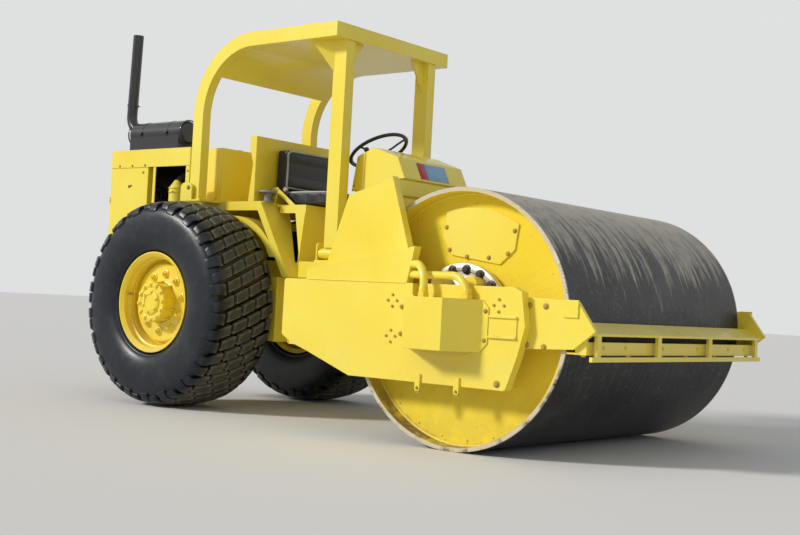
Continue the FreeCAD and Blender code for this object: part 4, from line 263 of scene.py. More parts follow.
def skin():
    """Height of a finish: fine grain over slow waves."""
    nodes, given, result = effect("skin", [("Grain Scale", "Float", 300.0), ("Wave Scale", "Float", 6.0),
                                           ("Waves", "Float", 0.5)], [("Height", "Float")])
    where = nodes.own_place()
    grain = nodes.noise(where, given["Grain Scale"], 2.0)
    waves = nodes.sum("MULTIPLY", nodes.noise(where, given["Wave Scale"], 2.0), given["Waves"])
    nodes.feed(result["Height"], nodes.sum("ADD", grain, waves))
    return nodes.tree


EFFECTS = {build.__name__: build() for build in (worn_edges, settled_dust, run_marks, round_place, skin)}


class Finish(Nodes):
    """One material round a Principled shader."""

    def __init__(self, name, roughness=0.5, metallic=0.0, coat=0.0):
        self.material = bpy.data.materials.new(name)
        self.material.use_nodes = True
        super().__init__(self.material.node_tree)
        self.shader = self.tree.nodes["Principled BSDF"]
        self.feed(self.shader.inputs["Roughness"], roughness)
        self.feed(self.shader.inputs["Metallic"], metallic)
        self.feed(self.shader.inputs["Coat Weight"], coat)

    def use(self, name, **values):
        """Places a shared effect with this material's own values."""
        made = self.add("Group", node_tree=EFFECTS[name])
        for key, value in values.items():
            self.feed(made.inputs[key.replace("_", " ")], value)
        return made.outputs

    def set(self, **values):
        for key, value in values.items():
            self.feed(self.shader.inputs[key.replace("_", " ")], value)

    def relief(self, height, strength, depth, edge=0.0):
        """Bump from a height, over edges rounded by light where the solid's are sharp."""
        bump = self.add("Bump", {"Height": height, "Strength": strength, "Distance": depth})
        if edge:
            rounded = self.add("Bevel", {"Radius": edge}, samples=6)
            self.feed(bump.inputs["Normal"], rounded.outputs["Normal"])
        self.set(Normal=bump.outputs["Normal"])


def enamel(name, colour, sunned, dust=0.35, splash=0.45, wear=0.8):
    """Machine enamel: a little faded, dusty low down, rubbed at the edges."""
    made = Finish(name, coat=0.25)
    where = made.own_place()
    fade = made.band(made.noise(where, 1.3, 3.0), 0.35, 0.65)
    base = made.blend(fade, colour, sunned)
    deep = made.sum("MULTIPLY", made.band(made.noise(where, 0.9, 2.0), 0.46, 0.66), 0.32)
    base = made.blend(deep, base, GOLDEN)
    marks = made.use("run_marks", Amount=0.22)["Mask"]
    base = made.blend(marks, base, GOLDEN)
    worn = made.use("worn_edges", Width=0.006, Amount=wear)["Mask"]
    base = made.blend(worn, base, PRIMER)
    dirt = made.use("settled_dust", Amount=dust, Splash_Height=0.85, Splash=splash)["Mask"]
    base = made.blend(dirt, base, PALE_EARTH)
    rough = made.band(made.sum("ADD", dirt, worn), 0.0, 1.0, 0.34, 0.85)
    made.set(Base_Color=base, Roughness=rough)
    height = made.use("skin", Grain_Scale=210.0, Wave_Scale=9.0, Waves=1.2)["Height"]
    made.relief(height, 0.1, 0.002, edge=0.004)
    made.shader.inputs["Coat Roughness"].default_value = 0.12
    return made.material


def rolled_face(made, wrapped):
    """Steel under its mud: how much mud lies where, and the face's colour with it."""
    upper = made.split(wrapped)["Z"]
    runs = made.noise(made.stretched(wrapped, (1.6, 21.0, 1.6)), 1.0, 7.0, 0.72)
    ragged = made.sum("MULTIPLY", made.sum("SUBTRACT", runs, 0.5), 2.1)
    coat = made.band(made.sum("ADD", upper, ragged), 0.46, 0.7)
    crazed = made.noise(made.stretched(wrapped, (9.0, 13.0, 9.0)), 1.0, 8.0, 0.75)
    thin = made.band(crazed, 0.32, 0.52, 0.35, 1.0)
    speckle = made.band(made.noise(wrapped, 30.0, 5.0, 0.75), 0.55, 0.66)
    scratches = made.noise(made.stretched(wrapped, (2.5, 60.0, 2.5)), 1.0, 4.0, 0.6)
    scrapes = made.band(scratches, 0.56, 0.72)
    thrown = made.sum("MULTIPLY", made.sum("MAXIMUM", speckle, scrapes), 0.16)
    mud = made.sum("ADD", made.sum("MULTIPLY", coat, thin), thrown, clamp=True)
    cloud = made.band(made.noise(wrapped, 2.2, 3.0), 0.35, 0.7)
    return mud, made.blend(mud, made.blend(cloud, ROLLED_STEEL, GREY_STEEL), DRY_MUD)


def drum_inside(made, spot):
    """Enamel on the heads and the inner wall, caked with earth low down and spotted with mud."""
    fade = made.band(made.noise(spot["Wrapped"], 2.0, 3.0), 0.35, 0.65)
    inner = made.blend(made.sum("MULTIPLY", fade, 0.45), LEMON, GOLDEN)
    where = made.own_place()
    on_wall = made.band(spot["Radius"], 0.7, 0.722, 0.16, 1.0)
    low = made.sum("MULTIPLY", made.band(made.split(where)["Z"], 0.46, 0.16), on_wall)
    caked = made.band(made.noise(where, 7.0, 7.0, 0.7), 0.36, 0.54)
    spots = made.band(made.noise(where, 52.0, 3.0, 0.6), 0.68, 0.72)
    dirt = made.sum("MAXIMUM", made.sum("MULTIPLY", low, caked), made.sum("MULTIPLY", spots, 0.6))
    return made.blend(dirt, inner, EARTH)


def drum_finish():
    """Rolled steel with drying mud on the face, enamel inside and a scuffed pale rim."""
    made = Finish("drum_steel")
    spot = made.use("round_place", Centre=tuple(DRUM_AXLE))
    wrapped = spot["Wrapped"]
    outside = made.band(spot["Radius"], DRUM_RADIUS - 0.014, DRUM_RADIUS - 0.01)
    mud, face = rolled_face(made, wrapped)
    base = made.blend(outside, drum_inside(made, spot), face)
    away = made.sum("ABSOLUTE", spot["Across"])
    scuffed = made.sum("MULTIPLY", made.band(away, DRUM_EDGE - 0.012, DRUM_EDGE - 0.004),
                       made.band(made.noise(wrapped, 9.0, 5.0, 0.7), 0.3, 0.5))
    at_rim = made.band(spot["Radius"], DRUM_RADIUS - 0.03, DRUM_RADIUS - 0.02)
    base = made.blend(made.sum("MULTIPLY", scuffed, at_rim), base, SCUFFED_RIM)
    bare = made.sum("MULTIPLY", outside, made.band(mud, 0.5, 0.0))
    dull = made.sum("ADD", mud, made.sum("SUBTRACT", 1.0, outside))
    made.set(Base_Color=base, Roughness=made.band(dull, 0.0, 1.6, 0.42, 0.86),
             Metallic=made.sum("MULTIPLY", bare, 0.55))
    crust = made.sum("ADD", made.sum("MULTIPLY", mud, 0.7), made.noise(wrapped, 60.0, 4.0, 0.7))
    made.relief(crust, 0.35, 0.004, edge=0.004)
    return made.material


def tyre_finish(side):
    """Rubber, blue-black on the sidewall, earth on the tread tops, painted shade in the grooves, painted
    highlight on block edges.
    """
    low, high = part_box("tyre_" + side)
    made = Finish("tyre_rubber_" + side)
    spot = made.use("round_place", Centre=tuple((low + high) / 2))
    where = made.own_place()
    cloud = made.band(made.noise(where, 3.0, 5.0, 0.6), 0.4, 0.72)
    base = made.blend(made.sum("MULTIPLY", cloud, 0.6), RUBBER, CLOUDED_RUBBER)
    away = made.sum("ABSOLUTE", spot["Across"])
    # Painted shade: the grooves between the tread blocks are darkened
    groove_shade = made.sum("MULTIPLY", made.band(spot["Radius"], 0.706, 0.699),
                         made.band(away, 0.262, 0.245))
    base = made.blend(groove_shade, base, GROOVE_PAINTED_SHADE)
    tops = made.sum("MULTIPLY", made.band(spot["Radius"], 0.699, 0.707), made.band(away, 0.235, 0.18))
    scuff = made.band(made.noise(where, 30.0, 6.0, 0.75), 0.34, 0.6, 0.3, 1.0)
    trodden = made.sum("MULTIPLY", made.sum("MULTIPLY", tops, scuff), 0.85)
    base = made.blend(trodden, base, TRODDEN_EARTH)
    # Rubbed rubber and a painted highlight: the sharp edges of the blocks on the tread's tops turn pale
    convex = made.band(made.add("NewGeometry").outputs["Pointiness"], 0.53, 0.58)
    rubbed_and_highlight = made.sum("MULTIPLY", convex, made.sum("MULTIPLY", tops, 0.7))
    base = made.blend(rubbed_and_highlight, base, RUBBED_EDGE_HIGHLIGHT)
    film = made.sum("MULTIPLY", made.band(made.noise(where, 11.0, 6.0, 0.7), 0.5, 0.75), 0.04)
    base = made.blend(film, base, PALE_EARTH)
    dull = made.sum("ADD", trodden, made.sum("MULTIPLY", film, 3.0))
    made.set(Base_Color=base, Roughness=made.band(dull, 0.0, 1.0, 0.31, 0.85))
    height = made.use("skin", Grain_Scale=170.0, Wave_Scale=24.0, Waves=0.6)["Height"]
    made.relief(height, 0.22, 0.003)
    made.shader.inputs["Specular IOR Level"].default_value = 0.36
    return made.material


def plain_finish(name, colour, other, roughness, metallic=0.0, dust=0.2, wear=0.0, bare=PRIMER,
                 grain=160.0, relief=0.15, edge=0.003, coat=0.0):
    """A finish of two close colours with dust on top and, if asked, worn edges."""
    made = Finish(name, metallic=metallic, coat=coat)
    where = made.own_place()
    base = made.blend(made.band(made.noise(where, 6.0, 5.0, 0.65), 0.36, 0.64), colour, other)
    if wear:
        worn = made.use("worn_edges", Width=0.004, Amount=wear)["Mask"]
        base = made.blend(worn, base, bare)
    dirt = made.use("settled_dust", Amount=dust, Splash_Height=0.8, Splash=dust)["Mask"]
    base = made.blend(dirt, base, PALE_EARTH)
    made.set(Base_Color=base, Roughness=made.band(dirt, 0.0, 0.8, roughness, 0.85))
    height = made.use("skin", Grain_Scale=grain, Wave_Scale=12.0, Waves=0.4)["Height"]
    made.relief(height, relief, 0.002, edge=edge)
    return made.material


def vinyl():
    """Black seat vinyl with a pressed leather grain and a grey bloom of dust."""
    made = Finish("black_vinyl")
    where = made.own_place()
    cells = made.add("TexVoronoi", {"Vector": where, "Scale": 260.0}, feature="DISTANCE_TO_EDGE")
    creases = made.band(cells.outputs["Distance"], 0.0, 0.25)
    bloom = made.band(made.noise(where, 9.0, 5.0, 0.65), 0.45, 0.72)
    base = made.blend(made.sum("MULTIPLY", bloom, 0.2), VINYL_BLACK, VINYL_BLOOM)
    made.set(Base_Color=base, Roughness=made.band(bloom, 0.0, 1.0, 0.3, 0.52))
    made.relief(made.sum("ADD", creases, made.noise(where, 30.0, 2.0)), 0.25, 0.0012)
    return made.material


# Columns: name, its two close colours, roughness, and what else sets the finish apart
PLAIN_FINISHES = (
    ("black_plastic", (0.01, 0.01, 0.011, 1), (0.02, 0.02, 0.021, 1), 0.36, {"dust": 0.15}),
    ("black_paint", (0.006, 0.007, 0.011, 1), (0.014, 0.013, 0.016, 1), 0.28,
     {"dust": 0.12, "wear": 0.8, "bare": RUST, "coat": 0.3}),
    ("dark_metal", (0.03, 0.029, 0.028, 1), (0.075, 0.06, 0.045, 1), 0.55,
     {"metallic": 0.45, "dust": 0.5, "grain": 90.0, "relief": 0.4}),
    ("rod_chrome", (0.66, 0.66, 0.68, 1), (0.74, 0.74, 0.75, 1), 0.16,
     {"metallic": 1.0, "dust": 0.12, "relief": 0.03}),
    ("bare_steel", (0.5, 0.47, 0.42, 1), (0.3, 0.28, 0.25, 1), 0.4,
     {"metallic": 0.75, "dust": 0.3, "relief": 0.25}),
    ("dark_bolts", (0.035, 0.032, 0.03, 1), (0.1, 0.07, 0.05, 1), 0.5, {"metallic": 0.6, "dust": 0.3}),
    ("worn_bolts", (0.56, 0.38, 0.025, 1), (0.34, 0.21, 0.03, 1), 0.5,
     {"metallic": 0.1, "dust": 0.35, "wear": 0.6}),
    ("grey_cap", (0.24, 0.24, 0.25, 1), (0.32, 0.31, 0.3, 1), 0.6,
     {"metallic": 0.3, "dust": 0.3, "wear": 0.4, "bare": BRIGHT_STEEL}),
    # Grey for the seat's piping: a painted highlight along the black pads' edges
    ("piping_painted_highlight", (0.42, 0.43, 0.44, 1), (0.3, 0.31, 0.32, 1), 0.45, {"dust": 0.1}),
    ("sticker_blue", (0.2, 0.42, 0.68, 1), (0.25, 0.48, 0.72, 1), 0.4, {"dust": 0.1}),
    ("sticker_red", (0.5, 0.035, 0.06, 1), (0.42, 0.03, 0.05, 1), 0.4, {"dust": 0.1}),
    ("dial_white", (0.75, 0.74, 0.7, 1), (0.68, 0.67, 0.64, 1), 0.3, {"dust": 0.05}),
)

FINISH = {
    "yellow_paint": enamel("yellow_paint", LEMON, SUNNED_LEMON),
    "wheel_paint": enamel("wheel_paint", GOLDEN, LEMON, dust=0.3, splash=0.8),
    "drum_steel": drum_finish(),
    "tyre_right": tyre_finish("right"),
    "tyre_left": tyre_finish("left"),
    "black_vinyl": vinyl(),
}
for name, colour, other, roughness, apart in PLAIN_FINISHES:
    FINISH[name] = plain_finish(name, colour, other, roughness, **apart)


# Mesh tools
def as_mesh(made):
    data = bpy.data.meshes.new("form")
    made.to_mesh(data)
    made.free()
    return data


def lathe(profile, sides=48, closed=False):
    """Turned form round Z from (radius, height) pairs."""
    made = bmesh.new()
    turns = [math.tau * number / sides for number in range(sides)]
    rings = []
    for radius, height in profile:
        if radius == 0:
            rings.append([made.verts.new((0, 0, height))] * sides)
        else:
            rings.append([made.verts.new((radius * math.cos(turn), radius * math.sin(turn), height))
                          for turn in turns])
    pairs = list(zip(rings, rings[1:])) + ([(rings[-1], rings[0])] if closed else [])
    for near, far in pairs:
        for number in range(sides):
            after = (number + 1) % sides
            corners = dict.fromkeys((near[number], near[after], far[after], far[number]))
            if len(corners) > 2:
                made.faces.new(list(corners))
    return as_mesh(made)


def slab(outline, thick, edge=0.0):
    """Plate with this outline in XY, standing on Z = 0, its edges eased."""
    made = bmesh.new()
    below = [made.verts.new((x, y, 0)) for x, y in outline]
    above = [made.verts.new((x, y, thick)) for x, y in outline]
    made.faces.new(below[::-1])
    made.faces.new(above)
    for number, corner in enumerate(below):
        after = (number + 1) % len(below)
        made.faces.new((corner, below[after], above[after], above[number]))
    if edge:
        bmesh.ops.bevel(made, geom=made.edges[:], offset=edge, segments=2, profile=0.5, affect="EDGES")
    return as_mesh(made)


def brick(size, edge=0.0):
    """Block centred on X and Y, standing on Z = 0."""
    x, y, z = size[0] / 2, size[1] / 2, size[2]
    return slab([(-x, -y), (x, -y), (x, y), (-x, y)], z, edge)


def pipe(points, radius, bent=True, sides=3):
    """Round bar along a smooth line, or along a straight-sided one."""
    path = bpy.data.curves.new("path", "CURVE")
    path.dimensions = "3D"
    path.bevel_depth = radius
    path.bevel_resolution = sides
    path.use_fill_caps = True
    path.resolution_u = 8
    line = path.splines.new("NURBS" if bent else "POLY")
    line.points.add(len(points) - 1)
    for knot, place in zip(line.points, points):
        knot.co = (*place, 1)
    if bent:
        line.order_u = 3
        line.use_endpoint_u = True
    holder = bpy.data.objects.new("path", path)
    data = bpy.data.meshes.new_from_object(holder)
    bpy.data.objects.remove(holder)
    return data


def ribbon(rows, closed=True):
    """Skin over rows of places that run side by side: a loop, or a strap with both ends closed."""
    made = bmesh.new()
    rows = [[made.verts.new(place) for place in row] for row in rows]
    count = len(rows[0])
    for near, far in zip(rows, rows[1:] + rows[:1]):
        for number in range(count if closed else count - 1):
            after = (number + 1) % count
            made.faces.new((near[number], near[after], far[after], far[number]))
    if not closed:
        for number in (0, count - 1):
            made.faces.new([row[number] for row in rows])
    return as_mesh(made)


def at(x, y, z):
    """Puts a form, unturned, at a place."""
    return Matrix.Translation((x, y, z))


def round_z(turn):
    """Turns a form round its own Z, in radians."""
    return Matrix.Rotation(turn, 4, "Z")


def facing(place, direction, turn=0.0):
    """Puts a form's Z along a direction at a place, turned round it in degrees."""
    aim = Vector(direction).to_track_quat("Z", "Y").to_matrix().to_4x4()
    return Matrix.Translation(Vector(place)) @ aim @ round_z(math.radians(turn))


def bolt(size, washer=True):
    """Hexagon head on its washer, seated a little below Z = 0; size is half the width over the flats."""
    head = lathe([(0, -0.2 * size), (1.15 * size, -0.2 * size), (1.15 * size, 0.75 * size),
                  (0.95 * size, 1.0 * size), (0, 1.05 * size)], 6)
    if not washer:
        return head
    made = bmesh.new()
    made.from_mesh(head)
    made.from_mesh(lathe([(0, -0.2 * size), (1.7 * size, -0.2 * size), (1.7 * size, 0.22 * size),
                          (1.55 * size, 0.32 * size), (0, 0.32 * size)], 14))
    return as_mesh(made)


def circle(centre, axis_sign, radius, count, start=0.0):
    """Places round an axle that lies along Y, with the way the outer side faces."""
    for number in range(count):
        turn = math.radians(start) + math.tau * number / count
        yield facing(Vector(centre) + Vector((radius * math.cos(turn), 0, radius * math.sin(turn))),
                     (0, axis_sign, 0), math.degrees(turn))


def plain_bolts(places, direction, turn=15.0):
    """Where bolts stand whose heads all face one way."""
    return [facing(place, direction, turn) for place in places]


class Piece:
    """A visible piece, gathered from forms that are already in the machine's frame."""

    def __init__(self, name):
        self.name = name
        self.mesh = bmesh.new()

    def add(self, form, *places):
        """Adds a form as it lies, or once at each place."""
        for place in places or (Matrix(),):
            start = len(self.mesh.verts)
            self.mesh.from_mesh(form)
            self.mesh.verts.ensure_lookup_table()
            bmesh.ops.transform(self.mesh, matrix=place, verts=self.mesh.verts[start:])
        return self

    def done(self, body, finish, smooth=35, replaces=()):
        bmesh.ops.recalc_face_normals(self.mesh, faces=self.mesh.faces)
        data = bpy.data.meshes.new(self.name)
        self.mesh.to_mesh(data)
        self.mesh.free()
        data.shade_smooth()
        data.set_sharp_from_angle(angle=math.radians(smooth))
        data.materials.append(FINISH[finish])
        thing = bpy.data.objects.new(self.name, data)
        bpy.context.collection.objects.link(thing)
        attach(thing, body)
        if replaces:
            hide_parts(*replaces)
        return thing


def dress_nodes():
    """Gives every solid its finish, by its slot or by its own name."""
    own = {"tyre_right": "tyre_right", "tyre_left": "tyre_left", "rim_right": "wheel_paint",
           "rim_left": "wheel_paint", "filler_cap": "grey_cap"}
    slots = {part["node"]: part["material_slot"] for part in frame["record"]["subparts"]}
    for name, thing in frame["nodes"].items():
        finish = own.get(name, slots[name])
        thing.data.materials.clear()
        thing.data.materials.append(FINISH[finish])


# Wheels and drum
# The tread: lines of blocks round the tyre, two to a pitch, slanted across it
TREAD_PITCHES = 22
LINE_PITCH = math.tau / (TREAD_PITCHES * 2)
BLOCK_LENGTH = LINE_PITCH * 0.69
LINE_SLANT = 0.42 / 0.72
HALF_GROOVE = 0.013
BLOCK_ROOT = 0.672
ROOT_FLARE = 0.003
SHOULDER_MIDDLE = 0.215
# Columns: inner edge, outer edge, and which of a pitch's two lines the block stands in
CROWN_BLOCKS = (
    (-0.0625, 0.0625, 0), (0.0625, 0.1875, 0), (-0.1875, -0.0625, 0),
    (0.0, 0.125, 1), (-0.125, 0.0, 1),
)


def crown_radius(across):
    """Radius of the tread's top: level in the middle, falling to the shoulders."""
    return TYRE_RADIUS - 0.026 * (across / 0.238) ** 2


# Shoulder blocks in (across, radius): from the groove outwards, then down the sidewall
LONG_SHOULDER = (
    (0.1975, BLOCK_ROOT), (0.2005, crown_radius(0.195)), (0.236, crown_radius(0.24)),
    (0.262, 0.696), (0.2865, 0.648), (0.27, 0.632),
)
SHORT_SHOULDER = (
    (0.135, BLOCK_ROOT), (0.138, crown_radius(0.138)), (0.19, crown_radius(0.19)),
    (0.238, crown_radius(0.241)), (0.26, 0.6985), (0.274, 0.668), (0.262, 0.654),
)
# Half the carcass in (radius, across): bead, sidewall, shoulder and the middle under the tread
CARCASS = (
    (0.3345, 0.2335), (0.358, 0.2345), (0.366, 0.24), (0.374, 0.255), (0.38, 0.2585),
    (0.386, 0.2585), (0.392, 0.264), (0.415, 0.2745), (0.45, 0.2835), (0.49, 0.2885),
    (0.53, 0.29), (0.57, 0.2885), (0.605, 0.285), (0.63, 0.28), (0.65, 0.2725),
    (0.666, 0.262), (0.677, 0.248), (0.684, 0.225), (0.69, 0.15), (0.694, 0.0),
)


def swept_block(section, length, level_at=None, steps=3, ease=0.0055):
    """Tread block: a section in (across, radius) carried round the axle. It follows the slanted
    line, or stands level where that line crosses level_at."""
    made = bmesh.new()
    rings = []
    for number in range(steps + 1):
        ring = []
        for across, radius in section:
            turn = length * (number / steps - 0.5) - LINE_SLANT * (across if level_at is None else level_at)
            ring.append(made.verts.new((radius * math.cos(turn), radius * math.sin(turn), across)))
        rings.append(ring)
    count = len(section)
    for near, far in zip(rings, rings[1:]):
        for number in range(count):
            after = (number + 1) % count
            made.faces.new((near[number], near[after], far[after], far[number]))
    made.faces.new(rings[0][::-1])
    made.faces.new(rings[-1])
    bmesh.ops.recalc_face_normals(made, faces=made.faces)
    sharp = [edge for edge in made.edges if edge.calc_face_angle(0.0) > math.radians(40)]
    bmesh.ops.bevel(made, geom=sharp, offset=ease, segments=2, profile=0.6, affect="EDGES")
    return as_mesh(made)


def tread_blocks():
    """One pitch of the tread: each block's form, and which of the pitch's two lines it is in."""
    blocks = []
    for inner, outer, late in CROWN_BLOCKS:
        first, last = inner + HALF_GROOVE, outer - HALF_GROOVE
        middle = (first + last) / 2
        section = [(first - ROOT_FLARE, BLOCK_ROOT), (first, crown_radius(first)),
                   (middle, crown_radius(middle)), (last, crown_radius(last)),
                   (last + ROOT_FLARE, BLOCK_ROOT)]
        blocks.append((swept_block(section, BLOCK_LENGTH), late))
    for way in (-1, 1):
        section = [(across * way, radius) for across, radius in LONG_SHOULDER]
        blocks.append((swept_block(section, BLOCK_LENGTH * 1.1, SHOULDER_MIDDLE * way), 0))
        section = [(across * way, radius) for across, radius in SHORT_SHOULDER]
        blocks.append((swept_block(section, BLOCK_LENGTH), 1))
    return blocks


def tyre(side):
    """Bulging carcass with staggered blocks on the crown and longer ones over the shoulders."""
    low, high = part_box("tyre_" + side)
    on_axle = Matrix.Translation((low + high) / 2) @ ON_EDGE
    piece = Piece("tyre_shell_" + side)
    profile = CARCASS + tuple((radius, -across) for radius, across in reversed(CARCASS[:-1]))
    piece.add(lathe(profile, 132, closed=True), on_axle)
    blocks = tread_blocks()
    for pitch in range(TREAD_PITCHES):
        for block, late in blocks:
            piece.add(block, on_axle @ round_z(LINE_PITCH * (2 * pitch + late)))
    piece.done("wheel_" + side, "tyre_" + side, smooth=38, replaces=("tyre_" + side,))


# Wheel: how far the disc and the hub's end stand out from the tyre's middle
DISC_OUT = 0.15
HUB_OUT = 0.258
# Sections in (radius, distance out)
RIM_SECTION = (
    (0.335, 0.2), (0.3355, 0.232), (0.345, 0.2375), (0.356, 0.242), (0.358, 0.2465),
    (0.356, 0.251), (0.348, 0.2515), (0.34, 0.245), (0.329, 0.236), (0.322, 0.23),
    (0.32, 0.218), (0.324, 0.214), (0.324, 0.196), (0.316, 0.188), (0.308, 0.186),
    (0.306, 0.176), (0.312, 0.166), (0.312, 0.1), (0.298, 0.08), (0.298, -0.16),
    (0.324, -0.19), (0.324, -0.23), (0.356, -0.246), (0.358, -0.24), (0.354, -0.234),
    (0.335, -0.23), (0.334, -0.2), (0.306, -0.17), (0.306, 0.16),
)
DISC_SECTION = (
    (0.307, 0.094), (0.307, 0.112), (0.29, 0.118), (0.278, DISC_OUT - 0.004), (0.272, DISC_OUT),
    (0.15, DISC_OUT), (0.142, DISC_OUT + 0.004), (0.14, DISC_OUT - 0.02),
    (0.262, DISC_OUT - 0.024), (0.272, 0.104), (0.286, 0.094),
)
HUB_SECTION = (
    (0, -0.06), (0.09, -0.06), (0.138, -0.06), (0.138, DISC_OUT + 0.01), (0.133, DISC_OUT + 0.018),
    (0.133, HUB_OUT - 0.034), (0.14, HUB_OUT - 0.026), (0.14, HUB_OUT - 0.006),
    (0.137, HUB_OUT - 0.002), (0.112, HUB_OUT), (0.108, HUB_OUT - 0.004), (0.09, HUB_OUT - 0.004),
    (0.086, HUB_OUT + 0.006), (0.056, HUB_OUT + 0.012), (0.052, HUB_OUT + 0.006),
    (0.0, HUB_OUT + 0.006),
)
HUB_RIBS = 10


def wheel_middle(side, sign):
    low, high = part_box("rim_" + side)
    return Vector(((low.x + high.x) / 2, WHEEL_MIDDLE * sign, (low.z + high.z) / 2))


def wheel(side, sign):
    """Rim, lock ring, disc and planet hub as the photograph shows them, in the rim's room."""
    on_axle = facing(wheel_middle(side, sign), (0, sign, 0))
    piece = Piece("wheel_" + side)
    piece.add(lathe(RIM_SECTION, 120, closed=True), on_axle)
    piece.add(lathe(DISC_SECTION, 120, closed=True), on_axle)
    piece.add(lathe(HUB_SECTION, 96), on_axle)
    thick = 0.01
    rib = slab([(0.13, DISC_OUT - 0.002), (0.156, DISC_OUT - 0.002), (0.138, HUB_OUT - 0.03),
                (0.13, HUB_OUT - 0.03)], thick, 0.002)
    for number in range(HUB_RIBS):
        around = round_z(math.tau * (number + 0.5) / HUB_RIBS)
        piece.add(rib, on_axle @ around @ ON_EDGE @ at(0, 0, -thick / 2))
    piece.done("wheel_" + side, "wheel_paint", smooth=32, replaces=("rim_" + side,))


def wheel_fittings(side, sign):
    """Nuts, hub bolts and valve of one wheel."""
    middle = wheel_middle(side, sign)
    body = "wheel_" + side

    def out(distance, x=0.0, z=0.0):
        return middle + Vector((x, sign * distance, z))

    nuts = Piece("wheel_nuts_" + side)
    stud = lathe([(0, 0), (0.011, 0), (0.011, 0.034), (0.008, 0.038), (0, 0.038)], 12)
    for place in circle(out(DISC_OUT), sign, 0.205, 10, 12):
        nuts.add(bolt(0.02), place).add(stud, place)
    for place in circle(out(HUB_OUT - 0.001), sign, 0.124, 12, 5):
        nuts.add(bolt(0.0115), place)
    for place in circle(out(HUB_OUT + 0.009), sign, 0.071, 6, 20):
        nuts.add(bolt(0.0095), place)
    nuts.done(body, "wheel_paint")
    valve = Piece("tyre_valve_" + side)
    height = 0.05
    valve.add(pipe([out(0.176, -0.296, height), out(0.215, -0.296, height), out(0.236, -0.284, height)],
                   0.005))
    valve.add(brick((0.022, 0.016, 0.012), 0.003), facing(out(0.182, -0.302, height), (0, sign, 0)))
    valve.done(body, "bare_steel")


# Bolts of a head's cover in (x, z)
HATCH_BOLTS = ((1.3532, 1.2768), (1.3835, 1.1461), (1.5087, 1.1077), (1.6613, 1.1049),
               (1.7903, 1.1297), (1.8294, 1.258))


def drum_head_fittings(side, sign):
    """Cover bolts, rivets and the weld round a drum head."""
    outward = (0, sign, 0)
    bolts = Piece("head_bolts_" + side)
    places = [(x, sign * HATCH_FACE, z) for x, z in HATCH_BOLTS]
    bolts.add(bolt(0.0085), *plain_bolts(places, outward))
    bolts.done("drum", "worn_bolts")
    head = Vector((DRUM_AXLE.x, sign * HEAD_FACE, DRUM_AXLE.z))
    rivets = Piece("head_rivets_" + side)
    rivets.add(lathe([(0.008, -0.001), (0.0075, 0.003), (0.0045, 0.0055), (0, 0.006)], 14),
               *circle(head, sign, 0.69, 24, 4))
    rivets.done("drum", "wheel_paint")
    seam = Piece("head_weld_" + side)
    bead = [(0.7265, 0.0), (0.7265, 0.01), (0.722, 0.0125), (0.7175, 0.0105), (0.714, 0.005), (0.713, 0.0)]
    seam.add(lathe(bead, 120), facing(head, outward))
    seam.done("drum", "yellow_paint")


def hub_flange(side, sign):
    """Stepped flange of a drum's carrier, with its ring of bolts."""
    face = Vector((DRUM_AXLE.x, sign * FLANGE_FACE, DRUM_AXLE.z))
    flange = Piece("hub_flange_" + side)
    flange.add(lathe([(0.3195, -0.006), (0.3215, 0.0), (0.3195, 0.0035), (0.298, 0.0055), (0.292, 0.0105),
                      (0.276, 0.0105), (0.272, 0.006), (0.205, 0.006), (0.196, 0.012), (0.15, 0.012),
                      (0.146, -0.001)], 96), facing(face, (0, sign, 0)))
    flange.done("front_frame", "bare_steel")
    studs = Piece("hub_bolts_" + side)
    studs.add(bolt(0.017), *circle(face + Vector((0, sign * 0.0095, 0)), sign, 0.284, 18, 4))
    studs.done("front_frame", "dark_bolts")


def plate_bolts(side, sign):
    """Bolts that show on one side of the drum's frame, placed in (x, z)."""
    outward = (0, sign, 0)
    piece = Piece("plate_bolts_" + side)
    small = bolt(0.0075, washer=False)
    for x, z in ((1.1345, 0.8355), (1.133, 0.6295), (1.8805, 0.837)):
        for across, up in ((0, 0.033), (-0.033, 0), (0.033, 0), (0, -0.034)):
            piece.add(small, facing((x + across, sign * PLATE_FACE, z + up), outward, 20))
    motor_flange = ((1.2095, 0.8016), (1.209, 0.647), (1.7992, 0.8025), (1.797, 0.6422))
    piece.add(bolt(0.008),
              *plain_bolts([(x, sign * MOTOR_FLANGE_FACE, z) for x, z in motor_flange], outward))
    arm = ((2.0376, 0.8467), (2.1421, 0.8459), (2.029, 0.6345), (2.1392, 0.6281))
    piece.add(bolt(0.0105), *plain_bolts([(x, sign * ARM_FACE, z) for x, z in arm], outward))
    piece.add(bolt(0.012), facing((1.8907, sign * PLATE_FACE, 0.4117), outward, 10))
    piece.done("front_frame", "worn_bolts")


# Where a drum motor's two hoses go down into its cover, and the height they leave the frame at
HOSE_ENDS = (((1.41, 1.23), 1.05), ((1.69, 1.2), 0.99))
HOSE_FOOT = 0.864


def hose_collars(side, sign):
    """Nut and collar where each hose goes into the motor's cover."""
    collars = Piece("hose_collars_" + side)
    collar = lathe([(0.0215, -0.002), (0.03, -0.002), (0.03, 0.014), (0.0265, 0.018), (0.0265, 0.052),
                    (0.0245, 0.058), (0.0215, 0.058)], 24)
    nut = lathe([(0.0215, 0.0), (0.035, 0.0), (0.035, 0.02), (0.031, 0.024), (0.0215, 0.024)], 6)
    for (x, y), _ in HOSE_ENDS:
        place = facing((x, sign * y, HOSE_FOOT), UP, 10)
        collars.add(collar, place).add(nut, place)
    collars.done("front_frame", "wheel_paint", smooth=30)


